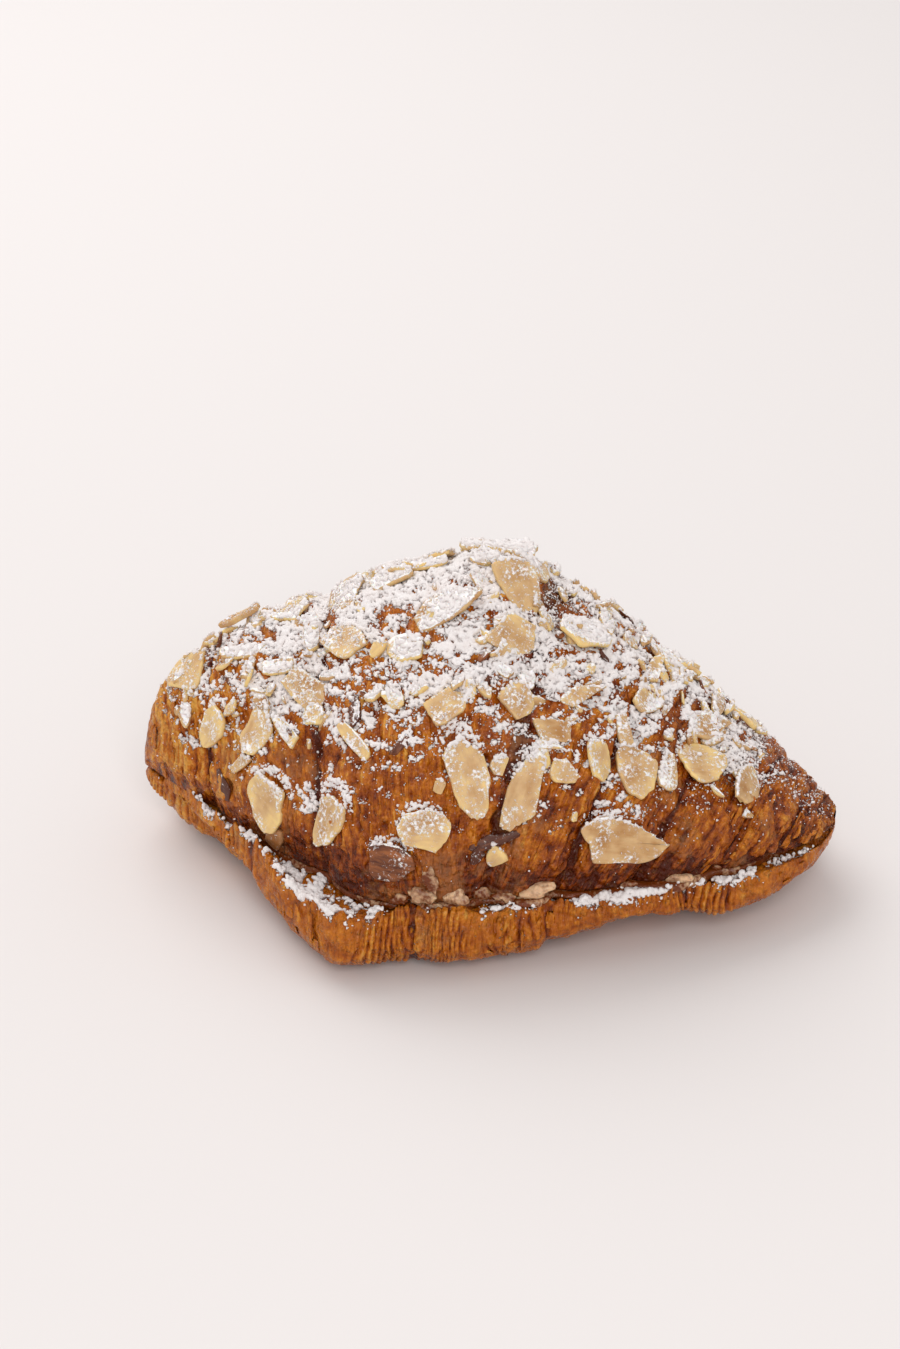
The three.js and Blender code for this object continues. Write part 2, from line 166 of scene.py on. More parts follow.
@dataclass(frozen=True)
class Taper:
    """How a half width or a height dies away from its peak to both tips."""

    peak: float
    left_fall: float
    left_power: float
    right_fall: float
    right_power: float
    rounding: float = 0.1

    def at(self, x: Array, half: float) -> Array:
        """Share of the full size left at x.

        Args:
            x: Places along the roll, in millimetres.
            half: Half the roll's length.

        Returns:
            Shares from 0 to 1.
        """
        left = x < self.peak
        reach = np.where(left, half + self.peak, half - self.peak)
        s = np.clip(np.abs(x - self.peak) / reach, 0.0, 1.0)
        fall = np.where(left, self.left_fall, self.right_fall)
        power = np.where(left, self.left_power, self.right_power)
        soft = np.hypot(s, self.rounding) - self.rounding
        return (1.0 - fall * soft) * np.sqrt(np.clip(1.0 - s**power, 0.0, 1.0))


@dataclass(frozen=True)
class RollForm:
    """Form of the pastry in millimetres, from the same named sizes as its solids."""

    half: float = 76.0
    crest: float = 70.0
    seam: float = 14.6
    filling: float = 2.4
    spine_back: float = 8.36
    spine_forward: Pair = (5.0, 7.0)
    ridge: Taper = Taper(2.0, 0.6, 12.0, 1.1, 16.0)
    crown_widths: Pair = (54.0, 36.0)
    crown_front: Taper = Taper(-16.0, 0.78, 2.0, 0.26, 2.2)
    crown_back: Taper = Taper(4.0, 0.35, 2.6, 0.45, 2.6)
    rim_widths: Pair = (56.5, 39.5)
    rim_front: Taper = Taper(-24.0, 0.98, 2.3, 0.4, 3.5)
    rim_back: Taper = Taper(4.0, 0.33, 2.6, 0.42, 2.6)
    face_power: float = 1.12
    foot_tuck: float = 2.2
    leans: Pair = (7.0, 24.0)
    lean_turn: float = 1.3
    lean_share: float = 0.1
    crown_edges: tuple[float, ...] = (-76.0, -57.0, -29.0, 4.0, 18.0, 34.0, 50.0, 62.0, 76.0)
    base_edges: tuple[float, ...] = (-76.0, -46.0, -9.0, 17.0, 45.0, 76.0)
    crown_relief: Pair = (3.0, 2.0)
    base_relief: float = 1.8
    back_level: float = 0.8
    wall_power: float = 0.22
    wall_drop_power: float = 0.7
    wall_bulge: float = 2.4
    wall_least: float = 1.2
    sole_flatness: float = 1.06
    sole_flat_share: float = 0.4
    hem_left: Triple = (9.0, -24.0, -60.0)
    hem_right: Triple = (3.5, 6.0, 24.0)
    arch: Triple = (6.5, 36.0, 11.0)

    @property
    def foot(self) -> float:
        """Height of the crown's foot, on top of the filling."""
        return self.seam + self.filling

    def rows(self, count: int) -> Array:
        """Places along the roll, closer together at the tips."""
        t = np.linspace(-1.0, 1.0, count)
        return self.half * (0.6 * np.sin(t * math.pi / 2.0) + 0.4 * t)

    def spine(self, x: Array) -> Array:
        """How far back the roll's centre line lies."""
        s = x / self.half
        return self.spine_back - np.where(x < 0, *self.spine_forward) * s * s

    def lean(self, u: Array, angle: Array) -> Array:
        """How far a rolled edge has leaned outwards.

        Args:
            u: Place where the edge starts, at the front foot.
            angle: Angle around the crown.

        Returns:
            Shift along the roll in millimetres.
        """
        s = np.abs(u) / self.half
        most = np.where(u < 0, -self.leans[0], self.leans[1]) * smooth(0.0, self.lean_share, s)
        return most * (1.0 - s**3) * (1.0 - np.exp(-angle / self.lean_turn))

    def end_fade(self, u: Array) -> Array:
        """1 along the roll, dying to 0 at the tips."""
        return np.sqrt(np.clip(1.0 - (np.abs(u) / self.half) ** 6, 0.0, 1.0))

    def tier(self, u: Array, edges: tuple[float, ...]) -> Array:
        """Level of the rolled tiers.

        Args:
            u: Places along the roll.
            edges: Where the tiers meet, from tip to tip.

        Returns:
            0 in a groove between tiers, 1 on a tier's back.
        """
        level = np.zeros_like(u)
        for low, high in zip(edges[:-1], edges[1:]):
            inside = (u >= low) & (u <= high)
            t = np.clip((u - low) / (high - low), 0.0, 1.0)
            if high <= 0:
                t = 1.0 - t
            elif low < 0:
                t = 0.5 + np.abs(t - 0.5)
            rise = 1.0 - (1.0 - np.clip(t / 0.5, 0.0, 1.0)) ** 2
            over = np.clip((t - 0.78) / 0.22, 0.0, 1.0)
            level = np.where(inside, np.minimum(rise, np.sqrt(1.0 - over * over)), level)
        return level

    def crown(self, u: Array, angle: Array) -> Array:
        """Skin of the upper half.

        Args:
            u: Places along the roll at the front foot.
            angle: 0 at the front foot to pi at the back foot.

        Returns:
            Points in millimetres.
        """
        x = u + self.lean(u, angle)
        c, s = np.cos(angle), np.sin(angle)
        height = (self.crest - self.foot) * self.ridge.at(x, self.half)
        front = self.crown_widths[0] * self.crown_front.at(x, self.half)
        back = self.crown_widths[1] * self.crown_back.at(x, self.half)
        width = np.where(c > 0, front, back)
        top = 1.0 - 0.45 * smooth(0.45, 0.95, s)
        left, right = self.crown_relief
        depth = left + (right - left) * smooth(-10.0, 30.0, u)
        relief = (self.tier(u, self.crown_edges) - self.back_level) * depth * self.end_fade(u) * top
        tuck = self.foot_tuck * (1.0 - smooth(0.0, 0.28, s)) * smooth(0.0, 6.0, width)
        y = self.spine(x) - np.sign(c) * (np.abs(c) ** self.face_power * width - tuck) - c * relief
        z = self.foot + np.maximum(0.0, s * height + s * relief)
        return np.stack([x, y, z], axis=-1)

    def crown_at(self, x: Array, angle: Array) -> Array:
        """Points of the upper half's skin, found by halving the span that holds each.

        Args:
            x: Places along the roll.
            angle: Angles around the crown.

        Returns:
            Points in millimetres.
        """
        low, high = np.full_like(x, -self.half), np.full_like(x, self.half)
        for _ in range(HALVINGS):
            u = (low + high) / 2.0
            short = u + self.lean(u, angle) < x
            low, high = np.where(short, u, low), np.where(short, high, u)
        return self.crown((low + high) / 2.0, angle)

    def underside(self, u: Array, c: Array) -> Array:
        """Height of the underside: flat in the middle, rising to both tips and to the front hem.

        Args:
            u: Places along the roll.
            c: How far to the front: 1 at the front rim, -1 at the back rim.

        Returns:
            Heights in millimetres.
        """
        share = self.sole_flat_share
        t = np.clip((np.abs(u) / self.half - share) / (1.0 - share), 0.0, 1.0)
        ends = self.seam * (1.0 - np.sqrt(1.0 - t * t))
        left = self.hem_left[0] * smooth(-self.hem_left[1], -self.hem_left[2], -u)
        right = self.hem_right[0] * smooth(self.hem_right[1], self.hem_right[2], u)
        hem = (left + right + self.arch[0] * hump(u, *self.arch[1:])) * smooth(0.05, 0.4, c)
        return np.minimum(ends + hem, self.seam - self.wall_least * self.end_fade(u))

    def base(self, u: Array, angle: Array) -> Array:
        """Skin of the lower half.

        Args:
            u: Places along the roll.
            angle: 0 at the front rim, pi / 2 under the middle, pi at the back rim.

        Returns:
            Points in millimetres.
        """
        c = np.cos(angle)
        drop = np.minimum(1.0, self.sole_flatness * np.abs(np.sin(angle)) ** self.wall_drop_power)
        front = self.rim_widths[0] * self.rim_front.at(u, self.half)
        back = self.rim_widths[1] * self.rim_back.at(u, self.half)
        width = np.where(c > 0, front, back)
        relief = (self.tier(u, self.base_edges) - self.back_level) * self.base_relief * self.end_fade(u)
        tall = self.seam - self.underside(u, c)
        belly = self.wall_bulge * tall / self.seam * np.sin(math.pi * drop) * smooth(0.0, 8.0, width)
        out = np.abs(c) ** self.wall_power * (width + relief) + belly
        return np.stack([u, self.spine(u) - np.sign(c) * out, self.seam - drop * tall], axis=-1)


@dataclass
class Skin:
    """Mesh of one piece: points in millimetres, faces, and named values for each point."""

    points: Array
    quads: Array
    triangles: Array
    values: dict[str, Array] = field(default_factory=dict)

    @classmethod
    def lofted(cls, rings: Array, values: dict[str, Array]) -> "Skin":
        """Closed skin over rings of points whose first and last ring are one point each.

        Args:
            rings: Grid of points, a ring in each row.
            values: Named values on the same grid.

        Returns:
            The skin, facing outwards.
        """
        count, around = rings.shape[0] - 2, rings.shape[1]

        def flat(grid: Array) -> Array:
            """Grid as a list, with one entry for each end."""
            return np.concatenate([grid[:1, 0], grid[1:-1].reshape(-1, *grid.shape[2:]), grid[-1:, 0]])

        ids = 1 + np.arange(count * around).reshape(count, around)
        turned = np.roll(ids, -1, axis=1)
        quads = np.stack([ids[:-1], ids[1:], turned[1:], turned[:-1]], axis=-1).reshape(-1, 4)
        first = np.stack([np.zeros(around, int), ids[0], turned[0]], axis=-1)
        last = np.stack([np.full(around, 1 + count * around), turned[-1], ids[-1]], axis=-1)
        named = {name: flat(grid) for name, grid in values.items()}
        return cls(flat(rings), quads, np.concatenate([first, last]), named)

    @classmethod
    def joined(cls, skins: list["Skin"]) -> "Skin":
        """One skin that holds several.

        Args:
            skins: Skins with the same named values.

        Returns:
            The joined skin.
        """
        starts = np.cumsum([0] + [len(s.points) for s in skins[:-1]])
        return cls(
            np.concatenate([s.points for s in skins]),
            np.concatenate([s.quads + n for s, n in zip(skins, starts)]),
            np.concatenate([s.triangles + n for s, n in zip(skins, starts)]),
            {name: np.concatenate([s.values[name] for s in skins]) for name in skins[0].values},
        )

    def to_object(self, name: str, material: Material) -> Object:
        """Blender object of this skin.

        Args:
            name: Name of the piece.
            material: Its finish.

        Returns:
            The object, at the origin, in metres.
        """
        mesh = bpy.data.meshes.new(name)
        corners = np.concatenate([self.quads.ravel(), self.triangles.ravel()])
        counts = np.concatenate([np.full(len(self.quads), 4), np.full(len(self.triangles), 3)])
        mesh.vertices.add(len(self.points))
        mesh.vertices.foreach_set("co", (self.points * MM).astype(np.float32).ravel())
        mesh.loops.add(len(corners))
        mesh.loops.foreach_set("vertex_index", corners.astype(np.int32))
        mesh.polygons.add(len(counts))
        mesh.polygons.foreach_set("loop_start", (np.cumsum(counts) - counts).astype(np.int32))
        mesh.polygons.foreach_set("use_smooth", np.ones(len(counts), bool))
        mesh.update(calc_edges=True)
        for key, value in self.values.items():
            add_values(mesh, key, value)
        mesh.materials.append(material)
        return linked(name, mesh)


def linked(name: str, data: bpy.types.ID) -> Object:
    """New object of some data, linked to the scene.

    Args:
        name: Name of the object.
        data: Its mesh, light or camera.

    Returns:
        The object, at the origin.
    """
    made = bpy.data.objects.new(name, data)
    bpy.context.scene.collection.objects.link(made)
    return made


def add_values(mesh: bpy.types.Mesh, name: str, values: Array) -> None:
    """Stores one number or one vector for each point of a mesh.

    Args:
        mesh: The mesh.
        name: Name that materials and node trees read.
        values: One row for each point.
    """
    vector = values.ndim == 2
    layer = mesh.attributes.new(name, "FLOAT_VECTOR" if vector else "FLOAT", "POINT")
    layer.data.foreach_set("vector" if vector else "value", values.astype(np.float32).ravel())


def linear(colour: str) -> tuple[float, float, float, float]:
    """Turns an sRGB colour linear.

    Args:
        colour: Hex value with a hash sign.

    Returns:
        Red, green, blue and full alpha.
    """
    parts = [int(colour[i : i + 2], 16) / 255.0 for i in (1, 3, 5)]
    red, green, blue = (p / 12.92 if p <= 0.04045 else ((p + 0.055) / 1.055) ** 2.4 for p in parts)
    return (red, green, blue, 1.0)


def put(
    tree: Tree, kind: str, inputs: dict[Any, Any] | tuple[Any, ...] = (), **settings: Any
) -> bpy.types.Node:
    """Adds a node with its settings and links.

    Args:
        tree: Node tree that takes it.
        kind: Blender's name for the node type.
        inputs: Values of its sockets, by name or number or in their order. A value that is an
            output socket is linked.
        settings: Properties of the node. One named stops fills a colour ramp.

    Returns:
        The node.
    """
    node = tree.nodes.new(kind)
    stops = settings.pop("stops", ())
    for name, value in settings.items():
        setattr(node, name, value)
    for key, value in inputs.items() if isinstance(inputs, dict) else enumerate(inputs):
        if isinstance(value, Socket):
            tree.links.new(value, node.inputs[key])
        else:
            node.inputs[key].default_value = value
    for number, (place, colour) in enumerate(stops):
        ramp = node.color_ramp.elements
        element = ramp[number] if number < 2 else ramp.new(place)
        element.position = place
        element.color = linear(colour)
    return node


def new_material(name: str) -> tuple[Material, Tree]:
    """Makes an empty node material.

    Args:
        name: Name of the real thing.

    Returns:
        The material and its tree.
    """
    material = bpy.data.materials.new(name)
    material.use_nodes = True
    material.node_tree.nodes.clear()
    return material, material.node_tree


def surfaced(tree: Tree, height: Socket, strength: float, relief_mm: float, inputs: dict[str, Any]) -> None:
    """Ends a material in one surface with a fine relief.

    Args:
        tree: Node tree of the material.
        height: Socket of the relief's height.
        strength: How strongly it shows.
        relief_mm: Its depth in millimetres.
        inputs: Inputs of the surface, by name.
    """
    bump = put(tree, "ShaderNodeBump", {"Height": height, "Strength": strength, "Distance": relief_mm * MM})
    shader = put(tree, "ShaderNodeBsdfPrincipled", {**inputs, "Normal": bump.outputs["Normal"]})
    put(tree, "ShaderNodeOutputMaterial", {"Surface": shader.outputs["BSDF"]})


# Laminated dough, brushed with syrup and baked: it gives the eye amber streaks along the pleats, which are
# partly painted shade, hollows and creases darkened by painted shade, damp shine where syrup has dried, and
# a thin film of sugar.
# The grain of the dough and the powder of the film are finer than a pixel, so both are drawn
# coarser here, at about a millimetre.
@dataclass(frozen=True)
class BakedCrust:
    """Finish of the crust: its colours, and its patterns in millimetres."""

    name: str = "baked_puff_dough"
    # Darkest brown of the ramp: burnt crust, and painted shade where the groove value darkens creases, tier
    # grooves and the crown's foot.
    burnt_and_shade: str = "#4d1803"
    deep: str = "#7d3304"
    brown: str = "#a5530a"
    amber: str = "#c57118"
    gold: str = "#dd9c42"
    syrup: str = "#a86f40"
    crystal: str = "#b8824f"
    sugar: str = "#f1ebe9"
    mottle_mm: float = 4.5
    blister_mm: float = 1.9
    grain_mm: float = 1.2
    fibre_mm: float = 0.9
    fibre_draw: float = 0.16
    syrup_mm: float = 3.0
    film_mm: float = 0.9
    speck_mm: float = 1.5
    lightness: float = 0.0
    middle_tone: float = 0.49
    streaked: float = 0.5
    fibrous: float = 1.25
    speckled: float = 0.9
    # Darkening in the dents between blisters and along the groove value: painted shade.
    painted_blister_shade: float = -0.3
    painted_groove_shade: float = -0.9
    glaze_weight: float = 0.35
    damp_span: Pair = (0.58, 0.85)
    damp_most: float = 0.46
    crystal_mottle: float = 0.5
    crystal_span: Pair = (0.84, 1.0)
    crystal_most: float = 0.28
    dust_weight: float = 0.4
    film_span: Pair = (0.72, 0.82)
    speck_rarity: float = 0.88
    speck_span: Pair = (0.16, 0.1)
    roughness: float = 0.27
    rough_swing: Pair = (-0.22, 0.16)
    damp_polish: float = -0.25
    sugar_dullness: float = 0.45
    blister_dent: float = -0.9
    relief_mm: float = 1.0

    def make(self) -> Material:
        """Node material that reads the roll, streak, groove, glaze and dust values of its piece.

        Returns:
            The material.
        """
        material, tree = new_material(self.name)
        place = put(tree, "ShaderNodeTexCoord").outputs["Object"]
        roll = put(tree, "ShaderNodeAttribute", attribute_name="roll").outputs["Vector"]
        read = {
            name: put(tree, "ShaderNodeAttribute", attribute_name=name).outputs["Fac"]
            for name in ("streak", "groove", "glaze", "dust")
        }
        mottle, grain, pool, film = (
            put(tree, "ShaderNodeTexNoise", {
                "Vector": place, "Scale": 1.0 / (size * MM), "Detail": detail, "Roughness": roughness,
                "Distortion": stirred,
            }).outputs["Fac"]
            for size, detail, roughness, stirred in (
                (self.mottle_mm, 4.0, 0.6, 0.0), (self.grain_mm, 4.0, 0.7, 0.5),
                (self.syrup_mm, 4.0, 0.6, 0.6), (self.film_mm, 2.0, 0.6, 0.0),
            )
        )
        blister = put(tree, "ShaderNodeTexVoronoi", {
            "Vector": place, "Scale": 1.0 / (self.blister_mm * MM), "Smoothness": 0.5, "Detail": 1.0,
        }, feature="SMOOTH_F1").outputs["Distance"]
        drawn = put(tree, "ShaderNodeMapping", {"Vector": roll, "Scale": (1.0, self.fibre_draw, 1.0)})
        fibre = put(tree, "ShaderNodeTexNoise", {
            "Vector": drawn.outputs["Vector"], "Scale": 1.0 / self.fibre_mm, "Detail": 3.0,
            "Roughness": 0.6, "Distortion": 0.7,
        }).outputs["Fac"]
        # A cloudy pattern averages a half, so half of each weight is taken off again.
        tone = self.lightness + self.middle_tone - self.speckled - 0.5 * self.fibrous
        # The groove value and the dents between blisters darken the tone here: painted shade.
        for value, weight in (
            (read["streak"], self.streaked), (mottle, self.speckled), (grain, self.speckled),
            (fibre, self.fibrous), (blister, self.painted_blister_shade), (read["groove"], self.painted_groove_shade),
        ):
            tone = put(tree, "ShaderNodeMath", (value, weight, tone), operation="MULTIPLY_ADD").outputs[0]
        colour = put(tree, "ShaderNodeValToRGB", {"Fac": tone}, stops=(
            (0.0, self.burnt_and_shade), (1.0, self.gold), (0.22, self.deep), (0.48, self.brown), (0.74, self.amber),
        )).outputs["Color"]
        damp, crystals, cover = (
            put(tree, "ShaderNodeMapRange", (
                put(tree, "ShaderNodeMath", (value, weight, pattern), operation="MULTIPLY_ADD").outputs[0],
                *span, 0.0, most,
            ), interpolation_type=step).outputs[0]
            for value, weight, pattern, span, most, step in (
                (read["glaze"], self.glaze_weight, pool, self.damp_span, self.damp_most, "SMOOTHSTEP"),
                (mottle, self.crystal_mottle, film, self.crystal_span, self.crystal_most, "LINEAR"),
                (read["dust"], self.dust_weight, film, self.film_span, 1.0, "SMOOTHSTEP"),
            )
        )
        specks = self.specks(tree, place)
        cover = put(tree, "ShaderNodeMath", (cover, specks), operation="MAXIMUM").outputs[0]
        for share, layer in ((damp, self.syrup), (crystals, self.crystal), (cover, self.sugar)):
            colour = put(tree, "ShaderNodeMix", {
                0: share, 6: colour, 7: linear(layer),
            }, data_type="RGBA").outputs[2]
        shiniest, dullest = (self.roughness + swing for swing in self.rough_swing)
        rough = put(tree, "ShaderNodeMapRange", (grain, 0.0, 1.0, shiniest, dullest)).outputs[0]
        for value, weight, held in ((damp, self.damp_polish, False), (cover, self.sugar_dullness, True)):
            rough = put(tree, "ShaderNodeMath", (value, weight, rough), operation="MULTIPLY_ADD",
                        use_clamp=held).outputs[0]
        height = fibre
        for value, weight in ((blister, self.blister_dent), (cover, 1.0), (crystals, 1.0)):
            height = put(tree, "ShaderNodeMath", (value, weight, height),
                         operation="MULTIPLY_ADD").outputs[0]
        surfaced(tree, height, 1.0, self.relief_mm, {
            "Base Color": colour, "Roughness": rough, "IOR": 1.45, "Specular IOR Level": 0.33,
        })
        return material

    def specks(self, tree: Tree, place: Socket) -> Socket:
        """Lone specks of sugar, one in some cells of a pattern.

        Args:
            tree: Node tree of the material.
            place: Coordinates that they lie in.

        Returns:
            Socket that is 1 on a speck.
        """
        cell = put(tree, "ShaderNodeTexVoronoi", {"Vector": place, "Scale": 1.0 / (self.speck_mm * MM)})
        chosen = put(tree, "ShaderNodeMath", (cell.outputs["Color"], self.speck_rarity),
                     operation="GREATER_THAN").outputs[0]
        dot = put(tree, "ShaderNodeMapRange", (cell.outputs["Distance"], *self.speck_span)).outputs[0]
        return put(tree, "ShaderNodeMath", (dot, chosen), operation="MULTIPLY").outputs[0]


# Sliced almond: it gives the eye cream flesh with a fine lengthwise grain, a paler rim, toasted
# patches and, on a few, the brown skin of the kernel, under a film of sugar.
# The grain is finer than a pixel, and so is the powder, so both are drawn coarser here.
@dataclass(frozen=True)
class FlakedAlmond:
    """Finish of the flakes: their colours, and their patterns in millimetres."""

    name: str = "flaked_almond"
    cream: str = "#efcd88"
    flesh: str = "#d2ab79"
    toast: str = "#b07c42"
    husk: str = "#9c5a2c"
    skin: str = "#52240f"
    sugar: str = "#faf5f3"
    grain_mm: float = 1.5
    grain_draw: float = 0.22
    cloud_mm: float = 4.5
    film_mm: float = 0.7
    grain_weight: float = 1.3
    cloud_weight: float = 2.3
    rim_paleness: float = -0.45
    toast_span: Pair = (1.0, 2.6)
    husk_depth: float = 0.45
    husk_grain: float = 1.2
    peel_span: Pair = (0.1, 0.5)
    dust_weight: float = 0.4
    film_span: Pair = (0.64, 0.8)
    roughness: Pair = (0.52, 0.92)
    film_height: float = 0.5
    relief_mm: float = 0.25

    def make(self) -> Material:
        """Node material that reads the leaf, rim, tone, skin and dust values of its piece.

        Returns:
            The material.
        """
        material, tree = new_material(self.name)
        place = put(tree, "ShaderNodeTexCoord").outputs["Object"]
        leaf = put(tree, "ShaderNodeAttribute", attribute_name="leaf").outputs["Vector"]
        read = {
            name: put(tree, "ShaderNodeAttribute", attribute_name=name).outputs["Fac"]
            for name in ("rim", "tone", "skin", "dust")
        }
        drawn = put(tree, "ShaderNodeMapping", {"Vector": leaf, "Scale": (self.grain_draw, 1.0, 1.0)})
        grain, cloud, film = (
            put(tree, "ShaderNodeTexNoise", {
                "Vector": where, "Scale": 1.0 / size, "Detail": detail, "Roughness": roughness,
            }).outputs["Fac"]
            for where, size, detail, roughness in (
                (drawn.outputs["Vector"], self.grain_mm, 5.0, 0.7), (leaf, self.cloud_mm, 3.0, 0.5),
                (place, self.film_mm * MM, 4.0, 0.7),
            )
        )
        mix = read["tone"]
        for value, weight in (
            (grain, self.grain_weight), (cloud, self.cloud_weight), (read["rim"], self.rim_paleness),
        ):
            mix = put(tree, "ShaderNodeMath", (value, weight, mix), operation="MULTIPLY_ADD").outputs[0]
        mix = put(tree, "ShaderNodeMapRange", (mix, *self.toast_span)).outputs[0]
        flesh = put(tree, "ShaderNodeValToRGB", {"Fac": mix}, stops=(
            (0.12, self.cream), (1.0, self.toast), (0.55, self.flesh),
        )).outputs["Color"]
        depth = put(tree, "ShaderNodeMath", (read["skin"], self.husk_depth),
                    operation="MULTIPLY").outputs[0]
        depth = put(tree, "ShaderNodeMath", (grain, self.husk_grain, depth),
                    operation="MULTIPLY_ADD").outputs[0]
        husk = put(tree, "ShaderNodeValToRGB", {"Fac": depth}, stops=(
            (0.72, self.husk), (1.0, self.skin),
        )).outputs["Color"]
        peel = put(tree, "ShaderNodeMapRange", (read["skin"], *self.peel_span)).outputs[0]
        cover = put(tree, "ShaderNodeMath", (read["dust"], self.dust_weight, film),
                    operation="MULTIPLY_ADD").outputs[0]
        cover = put(tree, "ShaderNodeMapRange", (cover, *self.film_span),
                    interpolation_type="SMOOTHSTEP").outputs[0]
        colour = flesh
        for share, layer in ((peel, husk), (cover, linear(self.sugar))):
            colour = put(tree, "ShaderNodeMix", {0: share, 6: colour, 7: layer},
                         data_type="RGBA").outputs[2]
        height = put(tree, "ShaderNodeMath", (cover, self.film_height, grain),
                     operation="MULTIPLY_ADD").outputs[0]
        rough = put(tree, "ShaderNodeMapRange", (cover, 0.0, 1.0, *self.roughness)).outputs[0]
        surfaced(tree, height, 0.8, self.relief_mm, {
            "Base Color": colour, "Roughness": rough,
            "IOR": 1.46, "Subsurface Weight": 0.2, "Subsurface Radius": (1.0, 0.6, 0.35),
            "Subsurface Scale": 1.0 * MM,
        })
        return material


# Baked almond cream: it gives the eye a moist grainy paste, pale where it is thick and browned
# to caramel where it is thin.
@dataclass(frozen=True)
class AlmondCream:
    """Finish of the filling: its colours, and its patterns in millimetres."""

    name: str = "almond_cream"
    pale: str = "#dfb891"
    brown: str = "#6f320a"
    grain_mm: float = 0.9
    cloud_mm: float = 5.0
    pale_weight: float = 0.22
    brown_span: Pair = (0.28, 0.5)
    roughness: Pair = (0.08, 0.36)
    relief_mm: float = 0.5

    def make(self) -> Material:
        """Node material of moist paste that reads the pale value of its piece.

        Returns:
            The material.
        """
        material, tree = new_material(self.name)
        place = put(tree, "ShaderNodeTexCoord").outputs["Object"]
        pale = put(tree, "ShaderNodeAttribute", attribute_name="pale").outputs["Fac"]
        grain, cloud = (
            put(tree, "ShaderNodeTexNoise", {
                "Vector": place, "Scale": 1.0 / (size * MM), "Detail": detail,
            }).outputs["Fac"]
            for size, detail in ((self.grain_mm, 4.0), (self.cloud_mm, 2.0))
        )
        mix = put(tree, "ShaderNodeMath", (grain, cloud), operation="MULTIPLY").outputs[0]
        mix = put(tree, "ShaderNodeMath", (pale, self.pale_weight, mix),
                  operation="MULTIPLY_ADD").outputs[0]
        mix = put(tree, "ShaderNodeMapRange", (mix, *self.brown_span)).outputs[0]
        colour = put(tree, "ShaderNodeMix", {
            0: mix, 6: linear(self.brown), 7: linear(self.pale),
        }, data_type="RGBA").outputs[2]
        rough = put(tree, "ShaderNodeMapRange", (grain, 0.0, 1.0, *self.roughness)).outputs[0]
        surfaced(tree, grain, 0.7, self.relief_mm, {
            "Base Color": colour, "Roughness": rough,
            "IOR": 1.42, "Subsurface Weight": 0.45, "Subsurface Radius": (1.0, 0.6, 0.4),
            "Subsurface Scale": 1.5 * MM,
        })
        return material


# Icing sugar: it gives the eye a dull white powder, a touch darker where it has drawn moisture.
# Real powder is far finer than a pixel, so its relief is drawn coarser, at half a millimetre.
@dataclass(frozen=True)
class IcingSugar:
    """Finish of the sugar: its colours, and its patterns in millimetres."""

    name: str = "icing_sugar"
    white: str = "#faf5f4"
    damp: str = "#efe4e0"
    clump_mm: float = 3.0
    powder_mm: float = 0.5
    relief_mm: float = 0.35

    def make(self) -> Material:
        """Node material of dull white powder.

        Returns:
            The material.
        """
        material, tree = new_material(self.name)
        place = put(tree, "ShaderNodeTexCoord").outputs["Object"]
        cloud, powder = (
            put(tree, "ShaderNodeTexNoise", {
                "Vector": place, "Scale": 1.0 / (size * MM), "Detail": detail, "Roughness": roughness,
            }).outputs["Fac"]
            for size, detail, roughness in ((self.clump_mm, 2.0, 0.5), (self.powder_mm, 4.0, 0.7))
        )
        colour = put(tree, "ShaderNodeMix", {
            0: cloud, 6: linear(self.damp), 7: linear(self.white),
        }, data_type="RGBA").outputs[2]
        surfaced(tree, powder, 1.0, self.relief_mm, {
            "Base Color": colour,
            "Roughness": 0.95, "IOR": 1.4, "Specular IOR Level": 0.2,
        })
        return material


class FlakeKind(Enum):
    """Shapes that a sliced almond breaks into."""

    OVAL = "oval"
    HALF = "half"
    CHIP = "chip"
    STRIP = "strip"


OVAL, HALF, CHIP, STRIP = FlakeKind
OVAL_TAPER = 0.3
HALF_TAPER = 0.2
HALF_CUT_SIDE = 0.1
STRIP_ROUNDNESS = 0.5
CHIP_ROUNDNESS = 0.65
CHIP_SKEW = 0.15
BREAKS = {OVAL: 5, HALF: 4, CHIP: 6, STRIP: 3}


@dataclass(frozen=True)
class Flake:
    """One flaked almond: where it lies on the crown, its turn, size and browning, how free of sugar."""

    kind: FlakeKind
    x: float
    up: float
    turn: float
    length: float
    width: float
    tilt: float = 0.0
    tone: float = 0.0
    skin: float = 0.0
    bare: float = 0.0

    @property
    def own_number(self) -> float:
        """Number that gives this flake patterns of its own."""
        return self.x * 3.0 + self.up

    @property
    def is_skin(self) -> bool:
        """True for a scrap of the kernel's brown skin, which is thinner and more torn."""
        return self.skin > 0.6

    def outline(self, count: int) -> Array:
        """Points of the flake's edge in its own plane.

        Args:
            count: Number of points.

        Returns:
            Points going round once, in millimetres.
        """
        t = np.arange(count) * 2.0 * math.pi / count
        c, s = np.cos(t), np.sin(t)
        x, y = c, s
        if self.kind is OVAL:
            y = s * (1.0 - OVAL_TAPER * c)
        elif self.kind is HALF:
            y = np.where(s < 0, HALF_CUT_SIDE * s, s * (1.0 - HALF_TAPER * c))
        elif self.kind is STRIP:
            x = np.sign(c) * np.abs(c) ** STRIP_ROUNDNESS
            y = np.sign(s) * np.abs(s) ** STRIP_ROUNDNESS
        else:
            x = np.sign(c) * np.abs(c) ** CHIP_ROUNDNESS + CHIP_SKEW * s
            y = np.sign(s) * np.abs(s) ** CHIP_ROUNDNESS * (1.0 + CHIP_SKEW * c)
        return np.stack([x * self.length / 2.0, y * self.width / 2.0], axis=-1)


